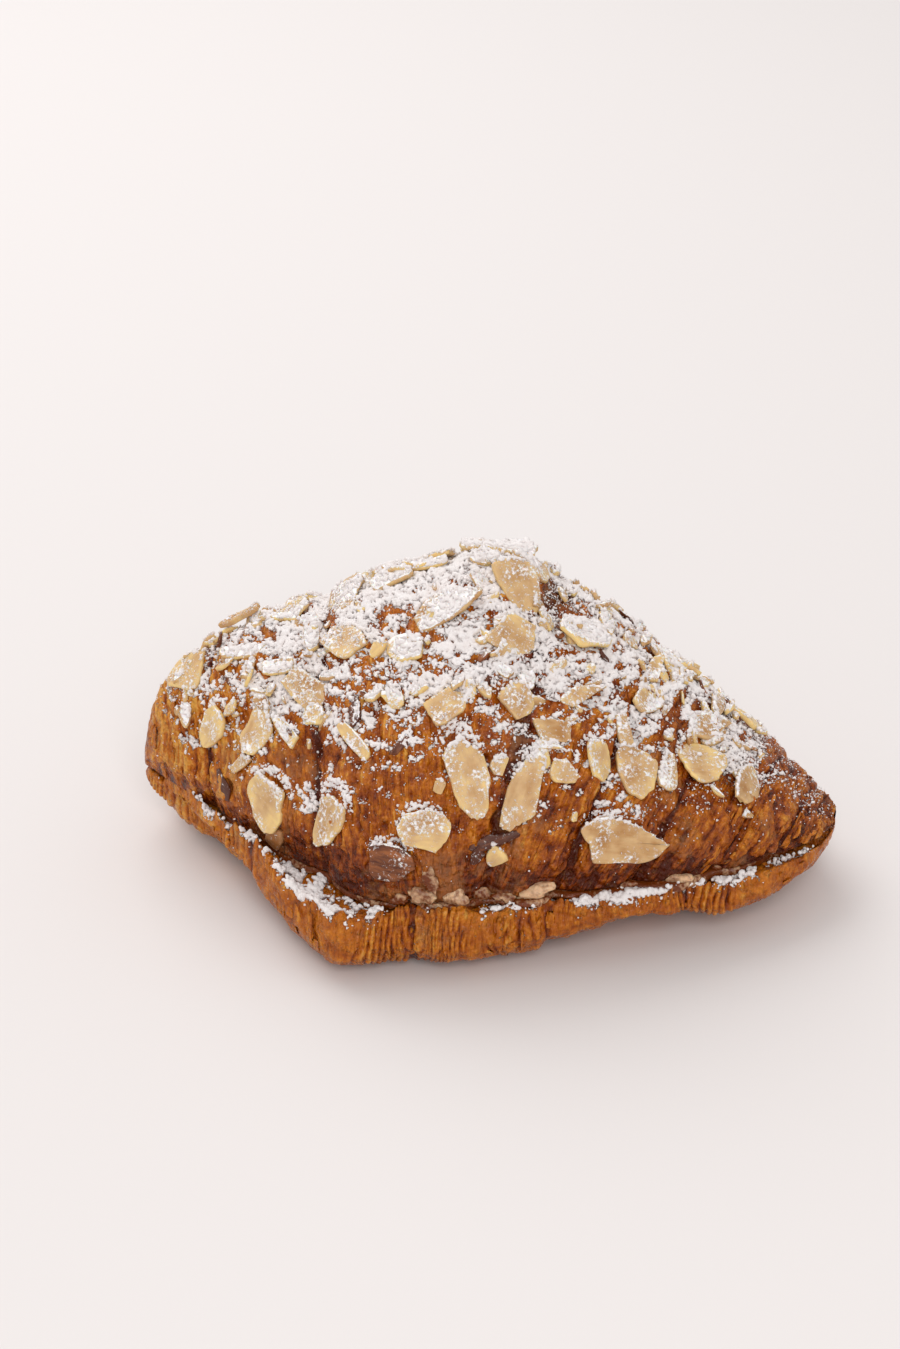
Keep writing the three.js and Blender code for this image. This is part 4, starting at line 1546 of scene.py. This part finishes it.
@dataclass
class Tray:
    """Lower half: a fluted wall of pleated dough with a ragged raised rim and a flat sole.

    Places and sizes are in millimetres. A bell is its place along the roll, its height and its reach.
    """

    form: RollForm
    row_count: int = 690
    wall_columns: int = 98
    wall_crowding: float = 0.13
    ledge_columns: int = 20
    ledge_crowding: float = 1.4
    ledge_reach: float = 16.0
    lip: float = 1.5
    lip_least: float = 0.15
    lip_bell: Pair = (0.9, 1.25)
    raised_lip: float = 2.4
    lip_tears: Uneven = Uneven(0.7, 5.0, 61)
    lip_nicks: Uneven = Uneven(0.55, 1.6, 63)
    pleat_mm: float = 1.25
    fold_mm: float = 5.5
    squash: Triple = (1.0, 0.3, 0.25)
    wander: Uneven = Uneven(1.6, 9.0, 67)
    fold_drift: Uneven = Uneven(1.6, 16.0, 69)
    pleat_drift: Uneven = Uneven(2.4, 8.0, 71)
    pleat_patches: Uneven = Uneven(1.0, 10.0, 73)
    fluted: tuple[Triple, ...] = ((-11.0, 0.9, 8.0), (17.0, 0.45, 10.0), (-30.0, -0.5, 9.0))
    swells: Uneven = Uneven(1.0, 8.0, 79)
    lumps: Uneven = Uneven(1.0, 3.0, 81)
    wrinkle_mm: Pair = (1.6, 6.0)
    wrinkle_seed: int = 87
    wrinkle_level: float = 0.7
    pleat_level: float = 0.67
    tint_level: float = 0.6
    pale_end: Pair = (36.0, 60.0)
    pale_end_tint: float = 0.35
    syrup_patches: Uneven = Uneven(1.0, 6.0, 91)
    sugar_heaps: tuple[Triple, ...] = ((-29.0, 0.6, 13.0), (51.0, 1.0, 12.0))
    sugar_patches: Uneven = Uneven(1.0, 9.0, 85)
    sugar_specks: Uneven = Uneven(0.8, 2.2, 89)
    sugared_right: Pair = (8.0, 20.0)
    sugared_height: Pair = (12.8, 15.4)

    def build(self, material: Material) -> Object:
        """The lower half as one closed piece.

        Args:
            material: Finish of its crust.

        Returns:
            The piece, with roll, streak, groove, glaze, dust and sugar values.
        """
        rows = self.form.rows(self.row_count)
        turns = np.linspace(1.0, 0.0, self.wall_columns)
        turns = math.pi * (turns + self.wall_crowding * np.sin(2.0 * math.pi * turns))
        u, angle = np.meshgrid(rows, turns, indexing="ij")
        bare = np.concatenate([self.form.base(u, angle), self.ledges(rows)], axis=1)
        fade = self.form.end_fade(rows)[:, None]
        u = bare[..., 0]
        flat = bare * np.array(self.squash)
        wander = u + self.wander.at(bare)
        fold = pleats(wander / self.fold_mm + self.fold_drift.at(flat))
        pleat = pleats(wander / self.pleat_mm + self.pleat_drift.at(flat))
        pleated = smooth(-0.05, 0.5, self.pleat_patches.at(bare) + humps(u, self.fluted))
        off_sole = smooth(0.1, 2.0, bare[..., 2])
        lumps = self.lumps.at(bare)
        wrinkle = wrinkles(bare, *self.wrinkle_mm, self.wrinkle_seed) - self.wrinkle_level
        height = self.swells.at(bare) + 0.5 * pleated * (fold - self.pleat_level)
        height += 0.7 * pleated * (pleat - self.pleat_level) + 0.45 * lumps + 0.25 * wrinkle
        height = height * off_sole * fade
        points = bare + grid_normals(bare) * height[..., None]
        points[..., 2] = np.maximum(points[..., 2], 0.0)
        tier = self.form.tier(u, self.form.base_edges)
        # Darker in the pleats' creases and in the grooves between tiers: painted shade.
        painted_crease_shade = pleated * (0.25 * (1.0 - pleat) ** 3 + 0.25 * (1.0 - fold) ** 5)
        groove = (0.6 * (1.0 - smooth(0.0, 0.25, tier)) + painted_crease_shade) * off_sole * fade
        # Lighter on folds, pleats, wrinkles and lumps and darker in their hollows: partly the dough's own
        # tone, partly painted shade.
        streak = 0.5 + 0.15 * (fold - self.tint_level) + 0.8 * pleated * (pleat - self.tint_level)
        for tint in (0.3 * wrinkle, 0.3 * lumps, self.pale_end_tint * smooth(*self.pale_end, -u)):
            streak += tint
        dust = self.sugaring(rows, bare, points) * fade
        values = {
            "roll": np.stack([u, bare[..., 2] + bare[..., 1], np.ones_like(u)], axis=-1),
            "streak": streak,
            "groove": np.clip(groove, 0.0, 1.0),
            "glaze": 0.5 * smooth(0.1, 0.7, self.syrup_patches.at(bare)),
            "dust": dust,
            "sugar": dust,
        }
        return Skin.lofted(points, values).to_object("baked_tray", material)

    def sugaring(self, rows: Array, bare: Array, points: Array) -> Array:
        """Where sugar lies: on the rim, clear of the crown, in heaps.

        Args:
            rows: Places along the roll.
            bare: Grid of points of the plain skin.
            points: Grid of points of the crust.

        Returns:
            How much sugar lies at each point.
        """
        u, up = bare[..., 0], grid_normals(points)[..., 2]
        heaps = sum(size * hump(u, at, reach) ** 0.5 for at, size, reach in self.sugar_heaps)
        heaps = heaps + 0.2 * smooth(*self.sugared_right, u)
        drift = self.sugar_patches.at(bare) + self.sugar_specks.at(bare) + 0.5 * heaps - 0.24
        near = self.form.crown_at(rows, np.zeros_like(rows))[:, None, 1]
        far = self.form.crown_at(rows, np.full_like(rows, math.pi))[:, None, 1]
        open_air = np.maximum(near + 0.5 - bare[..., 1], bare[..., 1] - far + 0.5) > 0.0
        top = np.concatenate([np.zeros(self.wall_columns), np.ones(2 * self.ledge_columns)])[None, :]
        high = np.maximum(top, smooth(*self.sugared_height, bare[..., 2]))
        return smooth(0.2, 0.7, up) * smooth(-0.25, 0.45, drift) * open_air * high

    def ledges(self, rows: Array) -> Array:
        """Top of the tray: a ragged raised lip all round, level under the crown.

        Args:
            rows: Places along the roll.

        Returns:
            Grid of points from the front rim inwards, then out to the back rim.
        """
        front = self.form.base(rows, np.zeros_like(rows))[:, None, :]
        back = self.form.base(rows, np.full_like(rows, math.pi))[:, None, :]
        share = np.linspace(0.0, 1.0, self.ledge_columns + 1)[1:] ** self.ledge_crowding
        middle = (front[..., 1] + back[..., 1]) / 2.0
        away = np.minimum(self.ledge_reach, 0.96 * (middle - front[..., 1])) * share[None, :]
        u = np.repeat(rows[:, None], self.ledge_columns, axis=1)
        line = np.stack([u, np.zeros_like(u), np.zeros_like(u)], axis=-1)
        ragged = 0.9 + self.lip_tears.at(line) + self.lip_nicks.at(line)
        tall = self.lip + self.raised_lip * smooth(34.0, 46.0, -u) * smooth(-75.0, -66.0, u)
        rise = np.maximum(self.lip_least, tall * ragged) * hump(away, *self.lip_bell)
        rise = rise * self.form.end_fade(u)
        near = np.stack([u, front[..., 1] + away, self.form.seam + rise], axis=-1)
        far = np.stack([u, back[..., 1] - away, self.form.seam + rise], axis=-1)
        return np.concatenate([near, far[:, ::-1]], axis=1)


@dataclass
class FlakyLeaves:
    """Thin leaves of baked dough that lift off the rim, the wall and the rolled edges.

    Places and lifts are in millimetres, turns and lengths in radians around the section. A pair is
    the least and the most.
    """

    form: RollForm
    seed: int = 29
    thickness: float = 0.22
    rows: int = 12
    steps: int = 5
    rim_count: int = 170
    rim_span: Pair = (-70.0, 70.0)
    rim_front_share: float = 0.65
    rim_turn: Pair = (0.12, 0.75)
    rim_length: Pair = (0.2, 0.6)
    rim_over: Pair = (0.7, 2.2)
    rim_lift: Pair = (0.15, 0.55)
    crown_count: int = 44
    crown_spans: tuple[Pair, ...] = ((-73.0, -52.0), (46.0, 72.0))
    crown_front_share: float = 0.75
    crown_front: Pair = (0.08, 1.0)
    crown_back: Pair = (2.2, 3.0)
    crown_length: Pair = (0.15, 0.5)
    crown_over: Pair = (0.4, 1.2)
    crown_lift: Pair = (0.05, 0.35)

    def leaf(self, skin: Callable[[Array, Array], Array], start: Pair, length: float,
             over: float, lift: float, number: int) -> Skin:
        """One leaf, stuck down along one edge and loose at the other.

        Args:
            skin: Surface that it lifts off, as a function of a place along the roll and an angle.
            start: That place and angle at the middle of its stuck edge.
            length: Angle from end to end of the stuck edge.
            over: Distance along the roll from the stuck edge to the loose one.
            lift: How far the loose edge stands off, in millimetres.
            number: Number that picks its ragged outline.

        Returns:
            Its skin, facing outwards, with the crust's values.
        """
        ends, sides = np.linspace(-0.5, 0.5, self.rows), np.linspace(0.0, 1.0, self.steps)
        i, j = np.meshgrid(ends, sides, indexing="ij")
        lens = np.sqrt(np.clip(1.0 - (2.0 * i) ** 2, 0.0, 1.0))
        places = np.stack([i * 6.0, j * 0.0, i * 0.0 + number], axis=-1)
        u = start[0] + over * (j * lens * (1.0 + 0.4 * noise(places, 1.2, 5)))
        angle = start[1] + length * i
        base = skin(u, angle)
        nudge, small_turn = 0.02, 0.001
        normal = unit(np.cross(skin(u + nudge, angle) - base, skin(u, angle + small_turn) - base))
        raised = base + normal * (0.1 * lens + lift * lens * j**1.5)[..., None]
        under = raised - normal * (self.thickness * lens)[..., None]
        rings = np.concatenate([raised, under[:, ::-1]], axis=1)
        pale = np.concatenate([j, j[:, ::-1]], axis=1)
        still = np.zeros_like(pale)
        values = {"streak": 0.5 + 0.4 * pale, "groove": still, "glaze": still, "dust": still}
        values["roll"] = rings * np.array([1.0, 1.0, 0.2])
        return self.outward(Skin.lofted(rings, values))

    def outward(self, leaf: Skin) -> Skin:
        """Turns the faces of a leaf outwards.

        Args:
            leaf: Skin of the leaf, facing either way.

        Returns:
            The same skin, facing outwards.
        """
        a, b, c, d = (leaf.points[leaf.quads[:, k]] - leaf.points.mean(axis=0) for k in range(4))
        volume = np.sum(a * np.cross(b, c)) + np.sum(a * np.cross(c, d))
        if volume <= 0:
            leaf.quads, leaf.triangles = leaf.quads[:, ::-1], leaf.triangles[:, ::-1]
        return leaf

    def build(self, material: Material) -> Object:
        """All leaves in one piece.

        Args:
            material: Finish of the crust.

        Returns:
            The piece.
        """
        luck = np.random.default_rng(self.seed)
        leaves = []
        for number in range(self.rim_count):
            u = luck.uniform(*self.rim_span)
            front = luck.uniform() < self.rim_front_share
            side = np.sign(luck.uniform(-1.0, 1.0))
            turn, length = luck.uniform(*self.rim_turn), luck.uniform(*self.rim_length)
            over, lift = luck.uniform(*self.rim_over), luck.uniform(*self.rim_lift)
            start = (u, turn if front else math.pi - turn)
            leaves.append(self.leaf(self.form.base, start, length, side * over, lift, number))
        for number in range(self.crown_count):
            u = luck.uniform(*self.crown_spans[number % len(self.crown_spans)])
            face = self.crown_front if luck.uniform() < self.crown_front_share else self.crown_back
            start = (u, luck.uniform(*face))
            length, over = luck.uniform(*self.crown_length), luck.uniform(*self.crown_over)
            lift = luck.uniform(*self.crown_lift)
            leaves.append(self.leaf(self.form.crown, start, length, math.copysign(over, u), lift, number))
        return Skin.joined(leaves).to_object("flaky_leaves", material)


@dataclass(frozen=True)
class CreamLump:
    """One lump of cream at the crown's foot: its place on the skin, half sizes, tilt and paleness."""

    x: float
    up: float
    radii: Triple
    tilt: float
    pale: float


CREAM_LUMPS = (
    CreamLump(14.5, 1.5, (4.2, 1.6, 1.5), 22, 1.0),
    CreamLump(-6.5, 6.0, (1.7, 0.4, 4.4), 12, 0.5),
    CreamLump(-8.5, 2.0, (3.0, 1.2, 1.7), -10, 0.7),
    CreamLump(-1.0, 1.0, (2.6, 1.3, 1.9), 8, 0.6),
    CreamLump(3.5, 0.5, (2.0, 1.2, 1.6), -15, 0.4),
    CreamLump(-12.5, 0.5, (2.2, 1.1, 1.3), 5, 0.3),
    CreamLump(8.5, 0.0, (2.2, 1.1, 1.1), 0, 0.5),
    CreamLump(33.0, 0.5, (2.4, 1.1, 1.0), 10, 0.5),
    CreamLump(43.0, 0.0, (3.0, 1.2, 1.1), 12, 0.7),
)


@dataclass
class Filling:
    """Almond cream that shows at the seam, with lumps where it swells out at the front.

    Sizes are in millimetres. A swell is its place along the roll, its height and its reach.
    """

    form: RollForm
    half: float = 74.5
    row_count: int = 300
    around: int = 24
    swells: tuple[Triple, ...] = ((-7, 1.6, 4), (2, 1.4, 4), (14, 1.9, 4), (44, 1.4, 6))
    proud: float = 0.6
    right_proud: float = 1.3
    right_span: Pair = (18.0, 28.0)
    side_power: float = 0.12
    level_power: float = 0.6
    bulges: Uneven = Uneven(0.9, 2.0, 97)
    seed: int = 17
    crumbs: int = 14
    crumb_least: Triple = (0.5, 0.5, 0.4)
    crumb_most: Triple = (1.5, 0.9, 0.9)
    lump_rings: int = 22
    lump_sides: int = 30
    lump_share: float = 0.42
    lump_mm: float = 1.6

    def layer(self) -> Skin:
        """Thin layer between the halves.

        Returns:
            Its skin, with pale values.
        """
        rows = self.half * np.sin(np.linspace(-math.pi / 2.0, math.pi / 2.0, self.row_count))
        near = self.form.crown_at(rows, np.zeros_like(rows))[:, 1]
        far = self.form.crown_at(rows, np.full_like(rows, math.pi))[:, 1]
        middle = (near + far) / 2.0
        opened = np.sqrt(np.clip(1.0 - np.abs(rows / self.half) ** 8, 0.0, 1.0))
        front = middle - near + self.proud + humps(rows, self.swells)
        front = (front + self.right_proud * smooth(*self.right_span, rows)) * opened
        back = (far - middle + self.proud) * opened
        turn = np.linspace(2.0 * math.pi, 0.0, self.around, endpoint=False) + math.pi / 8.0
        side = np.sign(np.cos(turn)) * np.abs(np.cos(turn)) ** self.side_power
        level = np.sign(np.sin(turn)) * np.abs(np.sin(turn)) ** self.level_power
        out = np.where(side > 0, front[:, None], back[:, None])
        y = middle[:, None] - side * out
        z = self.form.seam + self.form.filling * (0.5 - 0.5 * level) * np.ones_like(y)
        points = np.stack([np.repeat(rows[:, None], self.around, 1), y, z], axis=-1)
        bulge = (self.bulges.at(points) - 0.5) * opened[:, None]
        points[..., 1] -= bulge * np.sign(side)
        shown = sum(hump(points[..., 0], at, reach) for at, _, reach in self.swells)
        return Skin.lofted(points, {"pale": 0.3 * np.clip(shown, 0.0, 1.0)})

    def build(self, material: Material) -> Object:
        """The layer, its lumps and some crumbs as one piece.

        Args:
            material: Finish of the cream.

        Returns:
            The piece, with pale values.
        """
        skins = [self.layer()]
        luck = np.random.default_rng(self.seed)
        for lump in CREAM_LUMPS:
            spot = self.form.crown_at(np.asarray(lump.x), np.asarray(math.radians(lump.up)))
            skins.append(self.lump(spot, np.array(lump.radii), lump.tilt, lump.pale, luck))
        for number in range(self.crumbs):
            at, _, reach = self.swells[number % len(self.swells)]
            foot = self.form.crown_at(np.asarray(at + luck.normal() * reach), np.asarray(0.0))
            spot = foot + np.array([0.0, luck.uniform(-0.9, 0.8), luck.uniform(-1.6, 0.6)])
            radii = luck.uniform(self.crumb_least, self.crumb_most)
            skins.append(self.lump(spot, radii, luck.uniform(-50.0, 50.0), luck.uniform(0.0, 0.7), luck))
        return Skin.joined(skins).to_object("almond_cream_layer", material)

    def lump(self, middle: Array, radii: Array, tilt: float, pale: float,
             luck: np.random.Generator) -> Skin:
        """Soft uneven lump of cream.

        Args:
            middle: Its middle in millimetres.
            radii: Its half sizes along the three axes.
            tilt: How far its right end is raised, in degrees.
            pale: How pale it is.
            luck: Seeded source of its unevenness.

        Returns:
            Its skin.
        """
        rings = np.linspace(0.0, math.pi, self.lump_rings)
        sides = np.linspace(0.0, 2.0 * math.pi, self.lump_sides, endpoint=False)
        t, a = np.meshgrid(rings, sides, indexing="ij")
        ball = np.stack([-np.cos(t), np.sin(t) * np.cos(a), np.sin(t) * np.sin(a)], axis=-1)
        places = ball * radii + luck.uniform(0.0, 50.0)
        uneven = 1.0 + self.lump_share * noise(places, self.lump_mm, 3, 3)
        turn = np.array(Matrix.Rotation(math.radians(tilt), 3, Vector((0.0, 1.0, 0.0))))
        points = middle + (ball * radii * uneven[..., None]) @ turn
        return Skin.lofted(points, {"pale": np.full(t.shape, pale)})


@dataclass(frozen=True)
class GrainSizes:
    """Sizes of one strewing of sugar in millimetres, and how much of it there is."""

    per_mm2: float
    smallest: float
    largest: float
    pile: float
    clump: float = 2.6
    bare_share: float = 0.44
    voxel: float = 0.3
    start: float = -100.0
    end: float = 100.0
    seed: int = 1

    def inputs(self) -> dict[str, float]:
        """Turns the sizes into inputs of the node tree.

        Returns:
            Name of each input to its value, in metres.
        """
        return {
            "Density": self.per_mm2 / MM**2, "Smallest": self.smallest * MM, "Largest": self.largest * MM,
            "Pile": self.pile * MM, "Clump size": self.clump * MM, "Bare share": self.bare_share,
            "Voxel": self.voxel * MM, "Start": self.start * MM, "End": self.end * MM, "Seed": self.seed,
        }


@dataclass
class SugarDusting:
    """Icing sugar sieved over the pastry: clumps and loose grains where a surface faces up.

    Real grains are far finer than a pixel, so both are made coarser: clumps of caked grains, and
    grains as large as the specks that still show. The clumps on the crown are in three pieces, cut
    at two depths, because one would hold too many triangles.
    """

    material: Material
    crown_clumps: GrainSizes = GrainSizes(5.0, 0.22, 0.52, 0.55, voxel=0.27, seed=3)
    crown_grains: GrainSizes = GrainSizes(3.6, 0.09, 0.2, 0.5, seed=5)
    almond_clumps: GrainSizes = GrainSizes(2.6, 0.28, 0.52, 0.35, voxel=0.35, seed=7)
    rim_clumps: GrainSizes = GrainSizes(5.0, 0.3, 0.6, 1.0, seed=9)
    crown_cuts: Pair = (-12.0, 3.0)
    back_voxel: float = 0.4
    cover_gain: float = -0.3
    full_at: float = 0.1

    def tree(self, clumped: bool) -> Tree:
        """Geometry Nodes tree that strews grains over a piece by its sugar value.

        Args:
            clumped: True for grains caked into soft clumps, False for loose eight-faced grains.

        Returns:
            The tree, with named inputs.
        """
        tree = bpy.data.node_groups.new("sugar_clumps" if clumped else "sugar_grains", "GeometryNodeTree")
        tree.interface.new_socket("Geometry", in_out="OUTPUT", socket_type="NodeSocketGeometry")
        tree.interface.new_socket("Geometry", in_out="INPUT", socket_type="NodeSocketGeometry")
        for label in self.rim_clumps.inputs():
            kind = "NodeSocketInt" if label == "Seed" else "NodeSocketFloat"
            tree.interface.new_socket(label, in_out="INPUT", socket_type=kind)
        given = put(tree, "NodeGroupInput").outputs
        sugar = put(tree, "GeometryNodeInputNamedAttribute", {"Name": "sugar"}, data_type="FLOAT")
        sugar = sugar.outputs["Attribute"]
        amount = put(tree, "ShaderNodeMath", (sugar, given["Density"]), operation="MULTIPLY").outputs[0]
        strewn = put(tree, "GeometryNodeDistributePointsOnFaces", {
            "Mesh": given["Geometry"], "Density": amount, "Seed": given["Seed"],
        })
        kept = put(tree, "GeometryNodeDeleteGeometry", {
            "Geometry": strewn.outputs["Points"], "Selection": self.left_out(tree, given, sugar),
        }, domain="POINT")
        lift = put(tree, "FunctionNodeRandomValue", {2: 0.0, 3: given["Pile"], "Seed": given["Seed"]},
                   data_type="FLOAT")
        shift = put(tree, "ShaderNodeCombineXYZ", {"Z": lift.outputs[1]})
        piled = put(tree, "GeometryNodeSetPosition", {
            "Geometry": kept.outputs[0], "Offset": shift.outputs[0],
        }).outputs[0]
        size = put(tree, "FunctionNodeRandomValue", {
            2: given["Smallest"], 3: given["Largest"], "Seed": given["Seed"],
        }, data_type="FLOAT").outputs[1]
        if clumped:
            share = put(tree, "ShaderNodeMath", (sugar, 0.5, 0.5), operation="MULTIPLY_ADD").outputs[0]
            radius = put(tree, "ShaderNodeMath", (size, share), operation="MULTIPLY").outputs[0]
            cake = put(tree, "GeometryNodePointsToVolume", {
                "Points": piled, "Density": 1.0, "Voxel Size": given["Voxel"], "Radius": radius,
            }, resolution_mode="VOXEL_SIZE").outputs[0]
            placed = put(tree, "GeometryNodeVolumeToMesh", {"Volume": cake, "Threshold": self.full_at})
        else:
            grain = put(tree, "GeometryNodeMeshUVSphere", {"Segments": 4, "Rings": 2, "Radius": 1.0})
            spin = put(tree, "FunctionNodeRandomValue", {
                0: (0.0, 0.0, 0.0), 1: (math.tau, math.tau, math.tau), "Seed": given["Seed"],
            }, data_type="FLOAT_VECTOR")
            placed = put(tree, "GeometryNodeInstanceOnPoints", {
                "Points": piled, "Instance": grain.outputs["Mesh"], "Rotation": spin.outputs[0],
                "Scale": size,
            })
        real = put(tree, "GeometryNodeRealizeInstances", {"Geometry": placed.outputs[0]})
        dressed = put(tree, "GeometryNodeSetMaterial", {
            "Geometry": real.outputs[0], "Material": self.material,
        })
        put(tree, "NodeGroupOutput", {"Geometry": dressed.outputs[0]})
        return tree

    def left_out(self, tree: Tree, given: bpy.types.NodeOutputs, sugar: Socket) -> Socket:
        """Points where no sugar stays: bare gaps between clumps, and what lies in other pieces.

        Args:
            tree: The tree.
            given: Its named inputs.
            sugar: Socket of the sugar value.

        Returns:
            Socket that is true where a point is left out.
        """
        place = put(tree, "GeometryNodeInputPosition").outputs[0]
        scale = put(tree, "ShaderNodeMath", (1.0, given["Clump size"]), operation="DIVIDE").outputs[0]
        cloud = put(tree, "ShaderNodeTexNoise", {
            "Vector": place, "Scale": scale, "Detail": 3.0, "Roughness": 0.6,
        }).outputs["Fac"]
        depth = put(tree, "ShaderNodeSeparateXYZ", {0: place}).outputs["Y"]
        gap = put(tree, "ShaderNodeMath", (sugar, self.cover_gain, given["Bare share"]),
                  operation="MULTIPLY_ADD").outputs[0]
        gone = None
        for value, limit, side in (
            (cloud, gap, "LESS_THAN"), (depth, given["Start"], "LESS_THAN"),
            (depth, given["End"], "GREATER_EQUAL"),
        ):
            past = put(tree, "FunctionNodeCompare", {0: value, 1: limit}, data_type="FLOAT",
                       operation=side).outputs[0]
            gone = past if gone is None else put(
                tree, "FunctionNodeBooleanMath", {0: gone, 1: past}, operation="OR").outputs[0]
        return gone

    def strew(self, name: str, ground: Object, tree: Tree, sizes: GrainSizes) -> Object:
        """Grains over one piece.

        Args:
            name: Name of the new piece.
            ground: Piece that the grains lie on.
            tree: Tree that strews them.
            sizes: Sizes and amount.

        Returns:
            The grains as a plain mesh piece.
        """
        bearer = linked(name + "_bearer", ground.data)
        modifier = bearer.modifiers.new("sugar", "NODES")
        modifier.node_group = tree
        inputs = sizes.inputs()
        for item in tree.interface.items_tree:
            if item.in_out == "INPUT" and item.name in inputs:
                modifier[item.identifier] = inputs[item.name]
        bpy.context.view_layer.update()
        graph = bpy.context.evaluated_depsgraph_get()
        mesh = bpy.data.meshes.new_from_object(bearer.evaluated_get(graph), depsgraph=graph)
        bearer.modifiers.remove(modifier)
        bpy.data.objects.remove(bearer)
        mesh.name = name
        mesh.polygons.foreach_set("use_smooth", np.ones(len(mesh.polygons), bool))
        handed_on = {a.name for a in ground.data.attributes if not a.is_internal and not a.is_required}
        for label in [a.name for a in mesh.attributes if a.name in handed_on]:
            mesh.attributes.remove(mesh.attributes[label])
        return linked(name, mesh)

    def dress(self, crown: Object, almonds: Object, tray: Object) -> list[Object]:
        """Strews the sugar over the pastry.

        Args:
            crown: Crust of the upper half.
            almonds: Flakes on it.
            tray: Lower half.

        Returns:
            The pieces of sugar.
        """
        clumps, grains = self.tree(True), self.tree(False)
        before, behind = self.crown_cuts
        front = replace(self.crown_clumps, end=before)
        top = replace(self.crown_clumps, start=before, end=behind)
        back = replace(self.crown_clumps, start=behind, voxel=self.back_voxel)
        return [
            self.strew("sugar_clumps_front", crown, clumps, front),
            self.strew("sugar_clumps_top", crown, clumps, top),
            self.strew("sugar_clumps_back", crown, clumps, back),
            self.strew("sugar_grains_crown", crown, grains, self.crown_grains),
            self.strew("sugar_clumps_almonds", almonds, clumps, self.almond_clumps),
            self.strew("sugar_clumps_rim", tray, clumps, self.rim_clumps),
        ]


@dataclass(frozen=True)
class SoftLight:
    """Square area light: where it hangs and its side, in metres, and its power in watts."""

    name: str
    place: Triple
    side: float
    power: float

    def build(self, target: Triple) -> None:
        """Hangs the light.

        Args:
            target: Place that it faces, in metres.
        """
        data = bpy.data.lights.new(self.name, "AREA")
        data.size = self.side
        data.energy = self.power
        lamp = linked(self.name, data)
        lamp.location = self.place
        aim = Vector(target) - Vector(self.place)
        lamp.rotation_euler = aim.to_track_quat("-Z", "Y").to_euler()


# Matt pale floor: it gives the eye a plain bright ground that takes the pastry's soft shadow.
@dataclass(frozen=True)
class Studio:
    """Pale floor, soft light from above and behind, and the camera."""

    target_mm: Triple = (-9.6, 16.36, 36.5)
    azimuth: float = 7.0
    elevation: float = 30.0
    distance_mm: float = 640.0
    focal_px: float = 2915.7
    image_px: tuple[int, int] = (900, 1349)
    sensor_mm: float = 36.0
    lights: tuple[SoftLight, ...] = (
        SoftLight("key", (-0.48, 0.56, 0.9), 1.0, 7.1),
        SoftLight("front", (0.2, -0.95, 0.8), 0.5, 5.2),
    )
    light_target: Triple = (0.0, 0.0, 0.03)
    sky_colour: str = "#ffffff"
    sky_strength: float = 0.64
    floor_colour: str = "#e3dddb"
    floor_reach_mm: float = 4000.0

    def camera(self) -> None:
        """Sets the camera at the photographed angle."""
        data = bpy.data.cameras.new("camera")
        data.sensor_width = self.sensor_mm
        data.lens = data.sensor_width * self.focal_px / max(self.image_px)
        camera = linked("camera", data)
        a, e = math.radians(self.azimuth), math.radians(self.elevation)
        back = Vector((math.sin(a) * math.cos(e), -math.cos(a) * math.cos(e), math.sin(e)))
        camera.location = (Vector(self.target_mm) + back * self.distance_mm) * MM
        camera.rotation_euler = (-back).to_track_quat("-Z", "Y").to_euler()
        bpy.context.scene.camera = camera

    def floor(self) -> Object:
        """Lays the floor.

        Returns:
            The floor, a level square.
        """
        material, tree = new_material("matt_floor")
        shader = put(tree, "ShaderNodeBsdfPrincipled", {
            "Base Color": linear(self.floor_colour), "Roughness": 0.9, "Specular IOR Level": 0.1,
        })
        put(tree, "ShaderNodeOutputMaterial", {"Surface": shader.outputs["BSDF"]})
        corners = self.floor_reach_mm * np.array([[-1, -1, 0], [1, -1, 0], [1, 1, 0], [-1, 1, 0]])
        return Skin(corners, np.array([[0, 1, 2, 3]]), np.zeros((0, 3), int)).to_object("floor", material)

    def build(self) -> None:
        """Sets up the sky, the lights, the floor and the camera."""
        scene = bpy.context.scene
        scene.view_settings.view_transform = "Standard"
        world = bpy.data.worlds.new("soft_studio")
        world.use_nodes = True
        world.node_tree.nodes.clear()
        sky = put(world.node_tree, "ShaderNodeBackground", {
            "Color": linear(self.sky_colour), "Strength": self.sky_strength,
        })
        put(world.node_tree, "ShaderNodeOutputWorld", {"Surface": sky.outputs[0]})
        scene.world = world
        for light in self.lights:
            light.build(self.light_target)
        self.floor()
        self.camera()


def main() -> None:
    """Builds the pieces in order and reports each one."""
    logging.basicConfig(level=logging.INFO, format="%(name)s: %(message)s")
    form = RollForm()
    Studio().build()
    crust = BakedCrust().make()
    rim_crust = BakedCrust(name="baked_rim_dough", lightness=0.05, fibrous=0.4, speckled=0.55).make()
    almonds, placed = Almonds(form).build(FlakedAlmond().make())
    crown = Crown(form).build(crust, placed)
    tray = Tray(form).build(rim_crust)
    leaves = FlakyLeaves(form).build(rim_crust)
    layer = Filling(form).build(AlmondCream().make())
    dusting = SugarDusting(IcingSugar().make()).dress(crown, almonds, tray)
    nodes = {crown: "upper_half", almonds: "upper_half", tray: "lower_half", layer: "almond_filling"}
    for piece, node in nodes.items():
        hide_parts(node)
    for piece in [*nodes, leaves, *dusting]:
        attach(piece, "root")
        count = sum(len(face.vertices) - 2 for face in piece.data.polygons)
        LOG.info("%s: %d triangles", piece.name, count)


if __name__ == "__main__":
    main()
